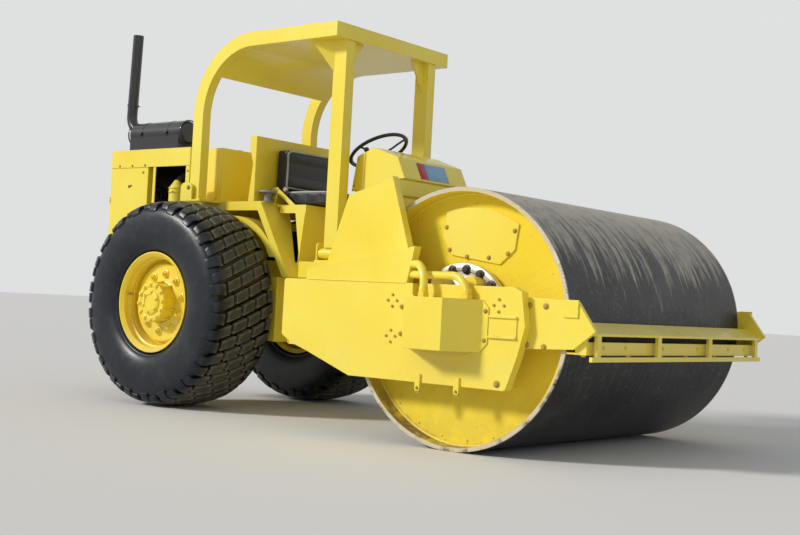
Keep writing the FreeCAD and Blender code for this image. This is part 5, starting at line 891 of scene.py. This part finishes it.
def hose_pipes(side, sign):
    """The two hoses of a drum motor, round and smooth over their solids."""
    piece = Piece("drum_hoses_" + side)
    bend, steps = 0.12, 12
    for (x, y), height in HOSE_ENDS:
        begin = Vector((1.238, sign * 1.13, height))
        corner = Vector((x, sign * y, height))
        run = (corner - begin).normalized()
        first = corner - run * bend
        line = [begin, first]
        for number in range(1, steps):
            turn = math.radians(90) * number / steps
            fall = Vector((0, 0, bend * (1 - math.cos(turn))))
            line.append(first + run * bend * math.sin(turn) - fall)
        line += [corner - Vector((0, 0, bend)), Vector((x, sign * y, HOSE_FOOT))]
        piece.add(pipe(line, 0.0232, bent=False, sides=5))
    piece.done("front_frame", "yellow_paint", smooth=60)


def tie_rings(side, sign):
    """Wire rings in the two tie-down eyes under the side plate."""
    rings = Piece("tie_rings_" + side)
    loop = [Vector((0.017 * math.cos(turn), 0, 0.017 * math.sin(turn) - 0.012))
            for turn in (math.tau * number / 16 for number in range(17))]
    for x in (1.353, 1.627):
        eye = Vector((x, sign * 1.166, 0.347))
        pin = Vector((0, 0.014, 0))
        rings.add(pipe([place + eye for place in loop], 0.0035))
        rings.add(pipe([eye - pin, eye + pin], 0.007, bent=False))
    rings.done("front_frame", "worn_bolts")


def scraper_bolts(side, sign):
    """Bolts under the scraper's tabs and through its blade."""
    _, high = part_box("scraper")
    clamps = Piece("scraper_bolts_" + side)
    clamps.add(bolt(0.011), *plain_bolts([(2.345, sign * y, 0.6) for y in (1.035, 0.55, 0.16)], DOWN))
    clamps.add(bolt(0.007), *plain_bolts([(high.x, sign * y, 0.64) for y in (0.9, 0.66, 0.22)], AHEAD))
    clamps.done("front_frame", "wheel_paint")


def weld(points, size=0.006):
    """Weld bead: a bar with the ripples of its passes."""
    made = bmesh.new()
    for first, last in zip(points, points[1:]):
        first, last = Vector(first), Vector(last)
        run = last - first
        count = max(2, int(run.length / 0.012))
        profile = [(0, 0)]
        for number in range(count):
            start = run.length * number / count
            profile += [(size * 0.82, start + 0.001), (size, start + run.length / count * 0.5)]
        profile += [(size * 0.8, run.length - 0.001), (0, run.length)]
        form = lathe(profile, 8)
        form.transform(facing(first, run))
        made.from_mesh(form)
    return as_mesh(made)


def frame_welds(side, sign):
    """Beads where the drum's frame and the chassis are joined."""
    beads = Piece("frame_welds_" + side)
    inner = sign * ARM_FACE
    beads.add(weld([(0.26, inner, 0.864), (0.48, inner, 0.864)]))
    beads.add(weld([(0.258, inner, 0.535), (0.258, inner, 0.855)]))
    top = sign * 1.1615
    beads.add(weld([(0.46, top, 0.941), (1.22, top, 0.941)], 0.005))
    bar_end = sign * 1.072
    beads.add(weld([(2.312, bar_end, 0.7), (2.4, bar_end, 0.7)], 0.004))
    beads.done("front_frame", "yellow_paint", smooth=60)
    rear = Piece("chassis_welds_" + side)
    tail, bracket = sign * 0.402, sign * 0.33
    rear.add(weld([(-2.33, tail, 0.72), (-2.33, tail, 1.09)], 0.005))
    rear.add(weld([(-0.562, bracket, 0.962), (-0.2, bracket, 0.962)], 0.005))
    rear.done("root", "yellow_paint", smooth=60)


# Operator's place
def swell(thing, cap, held):
    """Fills a pad by cloth pressure: held says which places stay where the sewing holds them, and
    cap is the furthest that any other may move."""
    for other in bpy.context.selected_objects:
        other.select_set(False)
    thing.select_set(True)
    bpy.context.view_layer.objects.active = thing
    remesh = thing.modifiers.new("voxels", "REMESH")
    remesh.mode = "VOXEL"
    remesh.voxel_size = 0.0075
    bpy.ops.object.modifier_apply(modifier=remesh.name)
    before = [vertex.co.copy() for vertex in thing.data.vertices]
    sewn = thing.vertex_groups.new(name="sewn")
    sewn.add([number for number, place in enumerate(before) if held(place)], 1.0, "ADD")
    cloth = thing.modifiers.new("fill", "CLOTH")
    cloth.settings.use_pressure = True
    cloth.settings.uniform_pressure_force = 4.0
    cloth.settings.effector_weights.gravity = 0.0
    cloth.settings.vertex_group_mass = sewn.name
    for step in range(1, 21):
        bpy.context.scene.frame_set(step)
    swollen = thing.evaluated_get(bpy.context.evaluated_depsgraph_get())
    after = [vertex.co.copy() for vertex in swollen.data.vertices]
    thing.modifiers.remove(cloth)
    for vertex, old, new in zip(thing.data.vertices, before, after):
        move = new - old
        if move.length > cap:
            move *= cap / move.length
        vertex.co = old + move
    bpy.context.scene.frame_set(1)
    smooth = thing.modifiers.new("smooth", "SUBSURF")
    smooth.levels = 1
    bpy.ops.object.modifier_apply(modifier=smooth.name)
    thing.data.shade_smooth()


def seat_pad(name, node, thick_way, across, channels, cap=0.014):
    """Vinyl seat pad in the room of its solid, swollen between its sewn channels. The pad is held
    at its back face along thick_way, and at the channels, which lie along the axis across."""
    low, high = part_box(node)
    inset = 0.01
    made = bmesh.new()
    bmesh.ops.create_cube(made, size=1.0)
    bmesh.ops.bevel(made, geom=made.edges[:], offset=0.06, segments=4, profile=0.6, affect="EDGES")
    room = [length - inset * 2 for length in high - low]
    bmesh.ops.transform(made, matrix=Matrix.Translation((low + high) / 2) @ Matrix.Diagonal((*room, 1)),
                        verts=made.verts)
    thing = bpy.data.objects.new(name, as_mesh(made))
    bpy.context.collection.objects.link(thing)
    thing.data.materials.append(FINISH["black_vinyl"])

    def held(place):
        on_channel = any(abs(place[across] - line) < 0.008 for line in channels)
        at_back = place[thick_way] < low[thick_way] + inset + 0.02
        return on_channel or at_back

    swell(thing, cap, held)
    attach(thing, "root")
    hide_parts(node)
    return thing


def corded_edge(name, pad, corners, radius=0.0075):
    """Piping sewn round a pad's edge, laid on the pad's own surface."""
    piece = Piece(name)
    places = []
    for corner, after in zip(corners, corners[1:] + corners[:1]):
        for share in (0.0, 0.25, 0.5, 0.75):
            wanted = Vector(corner).lerp(Vector(after), share)
            found, place, outward, _ = pad.closest_point_on_mesh(wanted)
            places.append(place + outward * radius * 0.5 if found else wanted)
    piece.add(pipe(places + places[:1], radius))
    # The piping's pale grey is a painted highlight
    return piece.done("root", "piping_painted_highlight")


def seat():
    """Seat cushion and back with their piping, hinge knobs and bracket legs."""
    along, upward, edge = 0, 2, 0.02
    cushion = seat_pad("seat_cushion_pad", "seat_cushion", upward, along, (-0.34, -0.465, -0.59))
    low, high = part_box("seat_cushion")
    top = high.z - 0.012
    rear, front, right, left = low.x + edge, high.x - edge, low.y + edge, high.y - edge
    corded_edge("cushion_piping", cushion,
                [(rear, right, top), (front, right, top), (front, left, top), (rear, left, top)])
    back = seat_pad("seat_back_pad", "seat_back", along, upward, (1.7, 1.8))
    low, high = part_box("seat_back")
    face, foot, head = high.x - 0.014, low.z + 0.03, high.z - edge
    right, left = low.y + edge, high.y - edge
    corded_edge("back_piping", back,
                [(face, right, foot), (face, right, head), (face, left, head), (face, left, foot)])
    knobs = Piece("seat_hinge_knobs")
    knob = lathe([(0, -0.012), (0.014, -0.012), (0.02, 0.0), (0.02, 0.01), (0.013, 0.016), (0, 0.016)], 20)
    for sign in (-1, 1):
        knobs.add(knob, facing((-0.665, sign * 0.255, 1.6), (0, sign, 0)))
    knobs.done("root", "bare_steel")
    legs = Piece("seat_bracket_legs")
    leg = slab([(-0.78, 1.499), (-0.72, 1.499), (-0.694, 1.604), (-0.704, 1.615), (-0.745, 1.615),
                (-0.754, 1.607)], 0.008, 0.0015)
    for y in (-0.292, 0.3):
        legs.add(leg, at(0, y, 0) @ ON_EDGE)
    for sign in (-1, 1):
        legs.add(bolt(0.009), facing((-0.722, sign * 0.3, 1.595), (0, sign, 0), 15))
    legs.done("root", "yellow_paint")


def hoop(radius, thick, sides, around=84):
    """Ring of round section about Z."""
    return lathe([(radius + thick * math.cos(turn), thick * math.sin(turn))
                  for turn in (math.tau * number / sides for number in range(sides))], around, closed=True)


def steering_wheel():
    """Three-spoked wheel on its column, tilted towards the seat."""
    ring_radius = 0.209
    hub = Vector((-0.015, 0, 1.895))
    place = facing(hub, (-0.5, 0, math.cos(math.radians(30))), 90)
    piece = Piece("steering_wheel_rim")
    piece.add(hoop(ring_radius, 0.013, 14), place)
    ridge = hoop(ring_radius, 0.015, 10)
    ridge.transform(Matrix.Diagonal((1, 1, 0.55, 1)))
    piece.add(ridge, place)
    for turn in (30, 150, 270):
        way = Vector((math.cos(math.radians(turn)), math.sin(math.radians(turn)), 0))
        spoke = [way * out + Vector((0, 0, -drop))
                 for out, drop in ((0.02, 0.03), (0.075, 0.03), (0.15, 0.008), (0.2, 0.0))]
        piece.add(pipe(spoke, 0.0075), place)
    piece.add(lathe([(0, -0.052), (0.03, -0.052), (0.042, -0.036), (0.044, -0.022), (0.036, -0.012),
                     (0.018, -0.007), (0, -0.006)], 40), place)
    piece.done("root", "black_plastic", smooth=50, replaces=("steering_wheel",))
    column = Piece("steering_column")
    column.add(lathe([(0, -0.205), (0.03, -0.205), (0.03, -0.15), (0.024, -0.14), (0.024, -0.06),
                      (0.02, -0.05), (0, -0.05)], 32), place)
    column.done("root", "black_plastic")


def console_plates():
    """Strips on the console's upper sides, and screws over its sides."""
    side_face, strip_face, strip_thick = 0.355, 0.359, 0.004
    strip = slab([(0.066, 1.575), (0.17, 1.575), (0.172, 1.832), (0.106, 1.806)], strip_thick, 0.0008)
    strips = Piece("console_strips")
    for y in (-side_face, strip_face):
        strips.add(strip, at(0, y, 0) @ ON_EDGE)
    strips.done("root", "wheel_paint")
    # Columns: x, z and which face the screw stands on
    spots = ((0.085, 1.605, strip_face), (0.112, 1.785, strip_face), (0.25, 1.1, side_face),
             (0.395, 1.1, side_face), (0.3, 1.61, side_face))
    screws = Piece("console_screws")
    for sign in (-1, 1):
        screws.add(bolt(0.0065, washer=False),
                   *[facing((x, sign * face, z), (0, sign, 0)) for x, z, face in spots])
    screws.done("root", "worn_bolts")


def dial_panel_place(y, up_slope):
    return DIAL_PANEL_FOOT + Vector((0, y, 0)) + DIAL_PANEL_RISE * up_slope


def dial_panel_out():
    return Vector((-DIAL_PANEL_RISE.z, 0, DIAL_PANEL_RISE.x))


def dials():
    """Four round dials, each with a bezel, nine marks and a needle."""
    bezels = Piece("dial_bezels")
    faces = Piece("dial_faces")
    needles = Piece("dial_needles")
    bezel = lathe([(0.04, 0.0), (0.047, 0.0), (0.047, 0.008), (0.043, 0.012), (0.039, 0.01),
                   (0.038, 0.004)], 36)
    glass = lathe([(0, -0.001), (0.039, -0.001), (0.039, 0.0045), (0, 0.005)], 36)
    needle = brick((0.003, 0.03, 0.0012))
    mark = brick((0.0016, 0.006, 0.001))
    for y in (-0.235, -0.125, 0.125, 0.235):
        place = facing(dial_panel_place(y, 0.078), dial_panel_out())
        bezels.add(bezel, place)
        faces.add(glass, place)
        needles.add(needle, place @ round_z(0.7 + y) @ at(0, 0.01, 0.005))
        for number in range(9):
            needles.add(mark, place @ round_z(math.radians(-120 + 30 * number)) @ at(0, 0.032, 0.0046))
    bezels.done("root", "black_plastic")
    faces.done("root", "dial_white")
    needles.done("root", "black_plastic")


def hand_levers():
    """A bent lever with a round knob at each end of the dial panel."""
    levers = Piece("hand_levers")
    knobs = Piece("lever_knobs")
    boot = lathe([(0, -0.002), (0.02, -0.002), (0.017, 0.01), (0.008, 0.018), (0, 0.018)], 20)
    knob = lathe([(0, -0.016), (0.01, -0.014), (0.017, -0.006), (0.019, 0.003), (0.015, 0.013),
                  (0.007, 0.018), (0, 0.019)], 20)
    for y, lean in ((0.29, -0.03), (-0.292, 0.02)):
        foot = dial_panel_place(y, 0.05)
        head = foot + Vector((lean - 0.045, 0, 0.034))
        levers.add(pipe([foot - Vector((0, 0, 0.01)), foot + Vector((-0.02, 0, 0.02)), head], 0.006))
        levers.add(boot, facing(foot, dial_panel_out()))
        knobs.add(knob, facing(head, head - foot))
    levers.done("root", "bare_steel")
    knobs.done("root", "black_plastic", smooth=60)


def pedals():
    """Two foot pedals on bent arms under the console."""
    piece = Piece("foot_pedals")
    for y in (-0.22, 0.22):
        pad = Vector((0.03, y, 1.15))
        piece.add(brick((0.012, 0.085, 0.11), 0.003), Matrix.Translation(pad) @ Matrix.Rotation(-0.5, 4, "Y"))
        piece.add(pipe([pad + Vector((0, 0, 0.02)), Vector((0.09, y, 1.13)),
                        Vector((0.145, y, 1.115))], 0.009))
    piece.done("root", "black_paint")


def console_sticker():
    """Blank two-tone sticker on the console's front slope."""
    fall = (Vector((0.523, 0, 1.65)) - Vector((0.456, 0, 1.791))).normalized()
    outward = Vector((-fall.z, 0, fall.x))
    middle = Vector((0.4905, 0, 1.7185)) + outward * 0.0002
    turn = Matrix((Vector((0, 1, 0)), -fall, outward)).transposed().to_4x4()
    half = 0.062
    for colour, first, last in (("red", -0.17, -0.082), ("blue", -0.082, 0.15)):
        sheet = Piece("sticker_%s_half" % colour)
        sheet.add(slab([(first, -half), (last, -half), (last, half), (first, half)], 0.0012, 0.0003),
                  Matrix.Translation(middle) @ turn)
        sheet.done("root", "sticker_" + colour)


# Hood and engine
def hood_fittings(side, sign):
    """Bolts, turn fasteners and a pull on one side of the hood."""
    outward = (0, sign, 0)
    band, panel = sign * HOOD_BAND_FACE, sign * HOOD_PANEL_FACE
    top = Piece("hood_bolts_" + side)
    top.add(bolt(0.0065), *plain_bolts([(x, band, 1.795) for x in (-2.346, -2.19, -2.037)], outward))
    top.done("root", "worn_bolts")
    turns = Piece("panel_fasteners_" + side)
    button = lathe([(0, -0.001), (0.012, -0.001), (0.012, 0.002), (0.01, 0.0035), (0.0, 0.0035)], 20)
    wing = brick((0.015, 0.003, 0.006), 0.001)
    for x, z, turn in ((-2.41, 1.21, 10), (-2.07, 1.21, 55), (-2.06, 1.74, 25)):
        place = facing((x, panel, z), outward, turn)
        turns.add(button, place).add(wing, place)
    turns.done("root", "worn_bolts")
    jamb = Piece("jamb_bolts_" + side)
    jamb.add(bolt(0.006), *plain_bolts([(-1.538, panel, z) for z in (1.2, 1.38, 1.56, 1.74)], outward))
    jamb.done("root", "worn_bolts")
    pull = Piece("panel_pull_" + side)
    catch = (-2.222, panel, 1.632)
    pull.add(lathe([(0, -0.001), (0.013, -0.001), (0.013, 0.004), (0.0, 0.005)], 16), facing(catch, outward))
    pull.add(slab([(-0.006, -0.006), (0.03, -0.004), (0.034, 0.0), (0.03, 0.004), (-0.006, 0.006)],
                  0.01, 0.002), facing(catch, outward, 20))
    pull.done("root", "worn_bolts")


def rear_fittings():
    """Hinges and latch of the rear grille."""
    steel = Piece("grille_hinges")
    leaf = brick((0.07, 0.035, 0.004), 0.001)
    barrel_length = 0.075
    barrel = lathe([(0, 0), (0.008, 0), (0.008, barrel_length), (0, barrel_length)], 16)
    for z in (1.28, 1.76):
        steel.add(leaf, facing((GRILLE_BACK + 0.002, 0.395, z), BEHIND, 90))
        steel.add(barrel, at(GRILLE_BACK + 0.002, 0.42, z - barrel_length / 2))
    y, z = -0.395, 1.52
    plate = slab([(-0.018, -0.045), (0.018, -0.045), (0.018, 0.045), (-0.018, 0.045)], 0.006, 0.002)
    steel.add(plate, facing((GRILLE_BACK + 0.001, y, z), BEHIND, 90))
    steel.done("root", "wheel_paint")
    lever = Piece("grille_latch")
    lever.add(lathe([(0, 0), (0.011, 0), (0.011, 0.014), (0, 0.015)], 16),
              facing((GRILLE_BACK - 0.004, y, z), BEHIND))
    lever.add(slab([(-0.008, -0.006), (0.042, -0.004), (0.046, 0.0), (0.042, 0.004), (-0.008, 0.006)],
                   0.005, 0.0015), facing((GRILLE_BACK - 0.012, y, z), BEHIND, 40))
    lever.done("root", "bare_steel")


def engine_castings():
    """Exhaust manifold with its four branches, the alternator and the drain plug."""
    cast = Piece("engine_castings")
    cast.add(pipe([(-1.62, -0.175, 1.5), (-1.8, -0.185, 1.5), (-2.1, -0.185, 1.505),
                   (-2.2, -0.2, 1.56), (-2.215, -0.23, 1.7), (-2.215, -0.29, 1.78)], 0.03))
    for x in (-1.64, -1.79, -1.94, -2.09):
        cast.add(pipe([(x, -0.12, 1.492), (x, -0.165, 1.492), (x - 0.01, -0.185, 1.5)], 0.021))
        cast.add(brick((0.06, 0.07, 0.012), 0.003), facing((x, -0.1345, 1.492), TO_RIGHT))
    alternator = lathe([(0, -0.075), (0.05, -0.075), (0.066, -0.062), (0.07, -0.035), (0.07, 0.035),
                        (0.066, 0.062), (0.05, 0.075), (0, 0.075)], 28)
    cast.add(alternator, facing((-2.215, -0.29, 1.2), AHEAD))
    cast.add(pipe([(-2.15, -0.2, 1.12), (-2.2, -0.27, 1.15)], 0.014, bent=False))
    cast.add(lathe([(0, 0), (0.03, 0), (0.03, 0.02), (0, 0.02)], 6),
             facing((-1.72, -0.252, 0.95), TO_RIGHT))
    cast.done("root", "dark_metal")


def air_box():
    """Ribbed air box and its duct, the fan's cowl ring, and a black sheet behind the grille as painted shade.
    """
    intake = Piece("air_box")
    y, z = -0.01, 1.638
    intake.add(brick((0.44, 0.19, 0.122), 0.018), at(-1.8, y, z))
    for x in (-1.93, -1.8, -1.67):
        intake.add(brick((0.014, 0.204, 0.127), 0.004), at(x, y, z))
    intake.add(pipe([(-1.74, -0.34, 1.655), (-1.745, -0.3, 1.7), (-1.76, -0.22, 1.712),
                     (-1.78, -0.1, 1.705)], 0.04))
    intake.add(lathe([(0.255, 0), (0.262, 0), (0.262, 0.04), (0.255, 0.04)], 64, closed=True),
               facing((-2.335, 0, 1.4), AHEAD))
    # Painted shade: a thin black sheet behind the grille's slots closes off the bay as if it lay in shade
    intake.add(brick((0.002, 0.84, 0.785), 0.0004), at(-2.4225, 0, 1.118))
    intake.done("root", "black_plastic")


def engine_bolts():
    """Bolts along the block's sides, on the head and round the fan drive's cover."""
    bolts = Piece("engine_bolts")
    heads = [(x, z) for x in (-2.2, -2.02, -1.84, -1.66) for z in (0.84, 1.3)]
    for way in (-1, 1):
        bolts.add(bolt(0.01), *plain_bolts([(x, way * ENGINE_FACE, z) for x, z in heads], (0, way, 0)))
    bolts.add(bolt(0.009), *plain_bolts([(x, 0, 1.64) for x in (-2.12, -1.96, -1.8, -1.66)], UP))
    bolts.add(bolt(0.009), *circle((-1.79, -0.2655, 1.44), -1, 0.142, 10, 8))
    bolts.done("root", "worn_bolts")


def oil_filters():
    """A spin-on filter under its bracket on each side of the engine."""
    filters = Piece("oil_filters")
    can = lathe([(0, 0), (0.04, 0), (0.046, 0.006), (0.046, 0.105), (0.048, 0.108), (0.048, 0.116),
                 (0.036, 0.122), (0.036, 0.135), (0, 0.135)], 32)
    bracket = brick((0.11, 0.13, 0.03), 0.006)
    # Columns: x, way to the side, foot of the can
    spots = ((-1.66, -1, 1.085), (-2.05, 1, 1.12))
    filters.add(can, *[at(x, way * 0.305, z) for x, way, z in spots])
    filters.add(bracket, *[at(x, way * 0.29, z + 0.13) for x, way, z in spots])
    filters.done("root", "black_paint")


def fuel_lines():
    """Four thin lines from the pump to the head, and the one from the filter."""
    lines = Piece("fuel_lines")
    for number, x in enumerate((-1.66, -1.8, -1.96, -2.1)):
        pump = -1.9 + number * 0.02
        lines.add(pipe([(pump, 0.262, 1.36), (pump, 0.285, 1.44), (x, 0.255, 1.5), (x, 0.2, 1.56),
                        (x, 0.13, 1.575)], 0.0035))
    lines.add(pipe([(-1.66, -0.33, 1.235), (-1.6, -0.35, 1.27), (-1.58, -0.35, 1.4),
                    (-1.6, -0.3, 1.52), (-1.66, -0.15, 1.56)], 0.005))
    lines.done("root", "bare_steel")


def engine_hoses():
    """Radiator hoses, the air cleaner's elbow and a hydraulic hose."""
    hoses = Piece("engine_hoses")
    hoses.add(pipe([(-2.345, -0.2, 1.66), (-2.24, -0.21, 1.68), (-2.14, -0.14, 1.66),
                    (-2.1, -0.08, 1.62)], 0.022))
    hoses.add(pipe([(-2.345, 0.22, 1.02), (-2.26, 0.24, 1.02), (-2.2, 0.245, 1.08),
                    (-2.16, 0.22, 1.1)], 0.022))
    hoses.add(pipe([(-1.74, -0.355, 1.405), (-1.74, -0.352, 1.372), (-1.755, -0.33, 1.345),
                    (-1.77, -0.28, 1.335), (-1.77, -0.245, 1.335)], 0.033))
    hoses.add(pipe([(-1.57, -0.3, 1.3), (-1.62, -0.34, 1.16), (-1.75, -0.36, 1.05),
                    (-1.95, -0.34, 1.0), (-2.1, -0.27, 0.98)], 0.011))
    hoses.done("root", "black_plastic")


def fan_belt():
    """Flat belt round the crank pulley and the fan's pulley."""
    loop = []
    # Columns: pulley's height and radius, and the turns in degrees where the belt lies on it
    for z, radius, first, last in ((1.4, 0.06, 20, 160), (0.93, 0.09, 200, 340)):
        for number in range(9):
            turn = math.radians(first + (last - first) * number / 8)
            loop.append(Vector((radius * math.cos(turn), z + radius * math.sin(turn))))
    half_thick, rear, front = 0.005, -2.3, -2.285
    middle = Vector((0, 1.17))
    rows = []
    for level, x in ((half_thick, rear), (-half_thick, rear), (-half_thick, front), (half_thick, front)):
        rows.append([(x, *(place + (place - middle).normalized() * level)) for place in loop])
    belt = Piece("fan_belt")
    belt.add(ribbon(rows))
    belt.done("root", "black_plastic")


def air_cleaner_fittings():
    """Bands with their clamp screws, and the lid's bead, on the air cleaner."""
    x, y = -1.74, -0.355
    bands = Piece("air_cleaner_bands")
    ring = lathe([(0.0615, -0.008), (0.0638, -0.008), (0.0638, 0.008), (0.0615, 0.008)], 48, closed=True)
    for z in (1.435, 1.585):
        front, rear = (x + 0.018, y - 0.066, z), (x - 0.018, y - 0.066, z)
        bands.add(ring, at(x, y, z))
        bands.add(pipe([rear, front], 0.0045, bent=False))
        bands.add(bolt(0.006, washer=False), facing(front, AHEAD))
    bands.add(lathe([(0.06, 0), (0.0665, 0), (0.0675, 0.004), (0.0665, 0.008), (0.06, 0.008)], 48,
                    closed=True), at(x, y, 1.612))
    bands.done("root", "wheel_paint")


def exhaust_fittings():
    """Seams and straps of the muffler."""
    y, z = -0.3, 2.055
    seams = Piece("muffler_seams")
    seam = lathe([(0.096, -0.006), (0.1005, -0.006), (0.102, 0.0), (0.1005, 0.006), (0.096, 0.006)], 56,
                 closed=True)
    seams.add(seam, facing((-2.312, y, z), AHEAD), facing((-1.698, y, z), AHEAD))
    seams.done("root", "black_paint")
    straps = Piece("muffler_straps")
    strap = lathe([(0.0975, -0.014), (0.1, -0.014), (0.1, 0.014), (0.0975, 0.014)], 56, closed=True)
    for x in (-2.16, -1.86):
        straps.add(strap, facing((x, y, z), AHEAD))
        straps.add(brick((0.028, 0.012, 0.024), 0.002), at(x, y - 0.104, 2.04))
        straps.add(bolt(0.006, washer=False), facing((x, y - 0.104, 2.064), UP))
    straps.done("root", "black_paint")


def tank_fittings():
    """Filler cap and two straps of the tank by the seat."""
    low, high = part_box("tank")
    cap = Piece("tank_cap")
    top = at(-1.33, -0.13, high.z - 0.016)
    cap.add(lathe([(0, 0.0), (0.04, 0.0), (0.04, 0.01), (0.034, 0.012), (0.034, 0.016), (0.046, 0.018),
                   (0.048, 0.022), (0.048, 0.034), (0.044, 0.04), (0, 0.042)], 36), top)
    for number in range(12):
        cap.add(brick((0.006, 0.008, 0.016), 0.0015),
                top @ round_z(math.tau * number / 12) @ at(0.0475, 0, 0.019))
    cap.done("root", "black_plastic")
    clear, corner = 0.0025, 0.015
    near, far, roof = low.y - clear, high.y + clear, high.z + clear
    outline = [(near, low.z + 0.004), (near, high.z - 0.018), (low.y + corner, roof),
               (high.y - corner, roof), (far, high.z - 0.018), (far, low.z + 0.004)]
    middle = (low.y + high.y) / 2
    half_wide, sunk = 0.014, 0.006
    straps = Piece("tank_straps")
    for x in (-1.375, -1.205):
        rows = [[(x + across, y + (inward if y < middle else -inward), z - inward) for y, z in outline]
                for across, inward in ((-half_wide, 0), (half_wide, 0),
                                       (half_wide, sunk), (-half_wide, sunk))]
        straps.add(ribbon(rows, closed=False))
        straps.add(bolt(0.007), facing((x, low.y - 0.003, low.z + 0.03), TO_RIGHT))
    straps.done("root", "wheel_paint")


# Roll bar and joint
def roll_bar_fittings(side, sign):
    """Foot bolt, roof bolts and weld bead of one side of the roll bar."""
    pins = Piece("roll_bar_bolts_" + side)
    pins.add(bolt(0.0105), facing((-1.276, sign * 0.647, 1.587), (0, sign, 0), 10))
    roof_bolts = [(x, sign * 0.515, 2.595) for x in (-0.64, -0.44, -0.24, -0.06)]
    pins.add(bolt(0.009), *plain_bolts(roof_bolts, UP))
    pins.done("root", "worn_bolts")
    beads = Piece("roll_bar_welds_" + side)
    rail = sign * 0.5415
    beads.add(weld([(-0.045, rail, 2.615), (0.072, rail, 2.615)]))
    beads.done("root", "yellow_paint", smooth=60)


def cylinder_fittings(side, sign):
    """Gland and two ports of one steering cylinder."""
    low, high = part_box("cylinder_barrel_" + side)
    tail = Vector((-0.5, sign * 0.22, 0.7))
    aim = Vector((0.6, sign * 0.02, 0)).normalized()
    mouth = tail + aim * ((high.x - tail.x) / aim.x - 0.004)
    outer = (high.z - low.z) / 2
    collar = Piece("cylinder_gland_" + side)
    collar.add(lathe([(outer - 0.004, -0.03), (outer + 0.003, -0.03), (outer + 0.003, -0.002),
                      (outer - 0.002, 0.0), (0.024, 0.001), (0.024, -0.004)], 40), facing(mouth, aim))
    boss = lathe([(0, 0), (0.015, 0), (0.015, 0.022), (0, 0.022)], 16)
    nut = lathe([(0, 0.02), (0.013, 0.02), (0.013, 0.036), (0, 0.036)], 6)
    for reach in (0.09, (high.x - tail.x) - 0.055):
        port = at(*(tail + aim * reach + Vector((0, 0, outer - 0.004))))
        collar.add(boss, port).add(nut, port)
    collar.done("barrel_" + side, "wheel_paint")


def filler():
    """Thin-rimmed cap with three lugs on a narrow filler neck in the deck."""
    low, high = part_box("filler_cap")
    foot = at((low.x + high.x) / 2, (low.y + high.y) / 2, low.z)
    cap = Piece("filler_cap_and_neck")
    cap.add(lathe([(0, -0.004), (0.046, -0.004), (0.046, 0.004), (0.026, 0.01), (0.024, 0.05),
                   (0.03, 0.06), (0.058, 0.064), (0.0655, 0.067), (0.067, 0.073), (0.065, 0.0795),
                   (0.056, 0.0825), (0.052, 0.08), (0.018, 0.082), (0.015, 0.088),
                   (0, 0.089)], 48), foot)
    for number in range(3):
        cap.add(brick((0.03, 0.01, 0.006), 0.002),
                foot @ round_z(math.tau * (number + 0.3) / 3) @ at(0.036, 0, 0.0795))
    cap.done("root", "grey_cap", replaces=("filler_cap",))


# Studio
# Columns: name, strength, the light's own width in degrees, the way it shines, and colour
LAMPS = (
    ("key", 2.4, 10, (0.5, 0.7, -0.48), (1.0, 0.97, 0.92)),
    ("fill", 0.22, 60, (-0.7, 0.45, -0.45), (0.95, 0.97, 1.0)),
)


def plain_floor():
    bpy.ops.mesh.primitive_plane_add(size=160)
    ground = bpy.context.object
    ground.name = "floor"
    paving = Finish("floor", roughness=0.9)
    paving.set(Base_Color=FLOOR_COLOUR)
    ground.data.materials.append(paving.material)


def soft_light():
    """A soft key from the machine's right rear, a wide fill from its right front, and a sky that
    lights dimly but is seen as a pale backdrop."""
    world = bpy.data.worlds.new("studio")
    bpy.context.scene.world = world
    world.use_nodes = True
    nodes = Nodes(world.node_tree)
    backdrop = world.node_tree.nodes["Background"]
    path = nodes.add("LightPath")
    seen = nodes.sum("MAXIMUM", path.outputs["Is Camera Ray"], path.outputs["Is Transmission Ray"])
    seen = nodes.sum("MAXIMUM", seen, path.outputs["Is Glossy Ray"])
    nodes.feed(backdrop.inputs["Color"], nodes.blend(seen, SKY_LIGHT_COLOUR, BACKDROP_COLOUR))
    nodes.feed(backdrop.inputs["Strength"], nodes.band(seen, 0.0, 1.0, SKY_LIGHT_STRENGTH, 1.0))
    for name, energy, angle, direction, colour in LAMPS:
        sun = bpy.data.lights.new(name, "SUN")
        sun.energy = energy
        sun.angle = math.radians(angle)
        sun.color = colour
        lamp = bpy.data.objects.new(name, sun)
        lamp.rotation_mode = "QUATERNION"
        lamp.rotation_quaternion = Vector(direction).to_track_quat("-Z", "Y")
        bpy.context.collection.objects.link(lamp)


camera()
dress_nodes()
for side, sign in SIDES:
    tyre(side)
    wheel(side, sign)
    wheel_fittings(side, sign)
    drum_head_fittings(side, sign)
    hub_flange(side, sign)
    plate_bolts(side, sign)
    hose_collars(side, sign)
    tie_rings(side, sign)
    scraper_bolts(side, sign)
    hose_pipes(side, sign)
    frame_welds(side, sign)
    hood_fittings(side, sign)
    roll_bar_fittings(side, sign)
    cylinder_fittings(side, sign)
seat()
steering_wheel()
console_plates()
dials()
hand_levers()
pedals()
console_sticker()
rear_fittings()
engine_castings()
air_box()
engine_bolts()
oil_filters()
fuel_lines()
engine_hoses()
fan_belt()
air_cleaner_fittings()
exhaust_fittings()
tank_fittings()
filler()
plain_floor()
soft_light()
bpy.context.scene.view_settings.view_transform = "Standard"
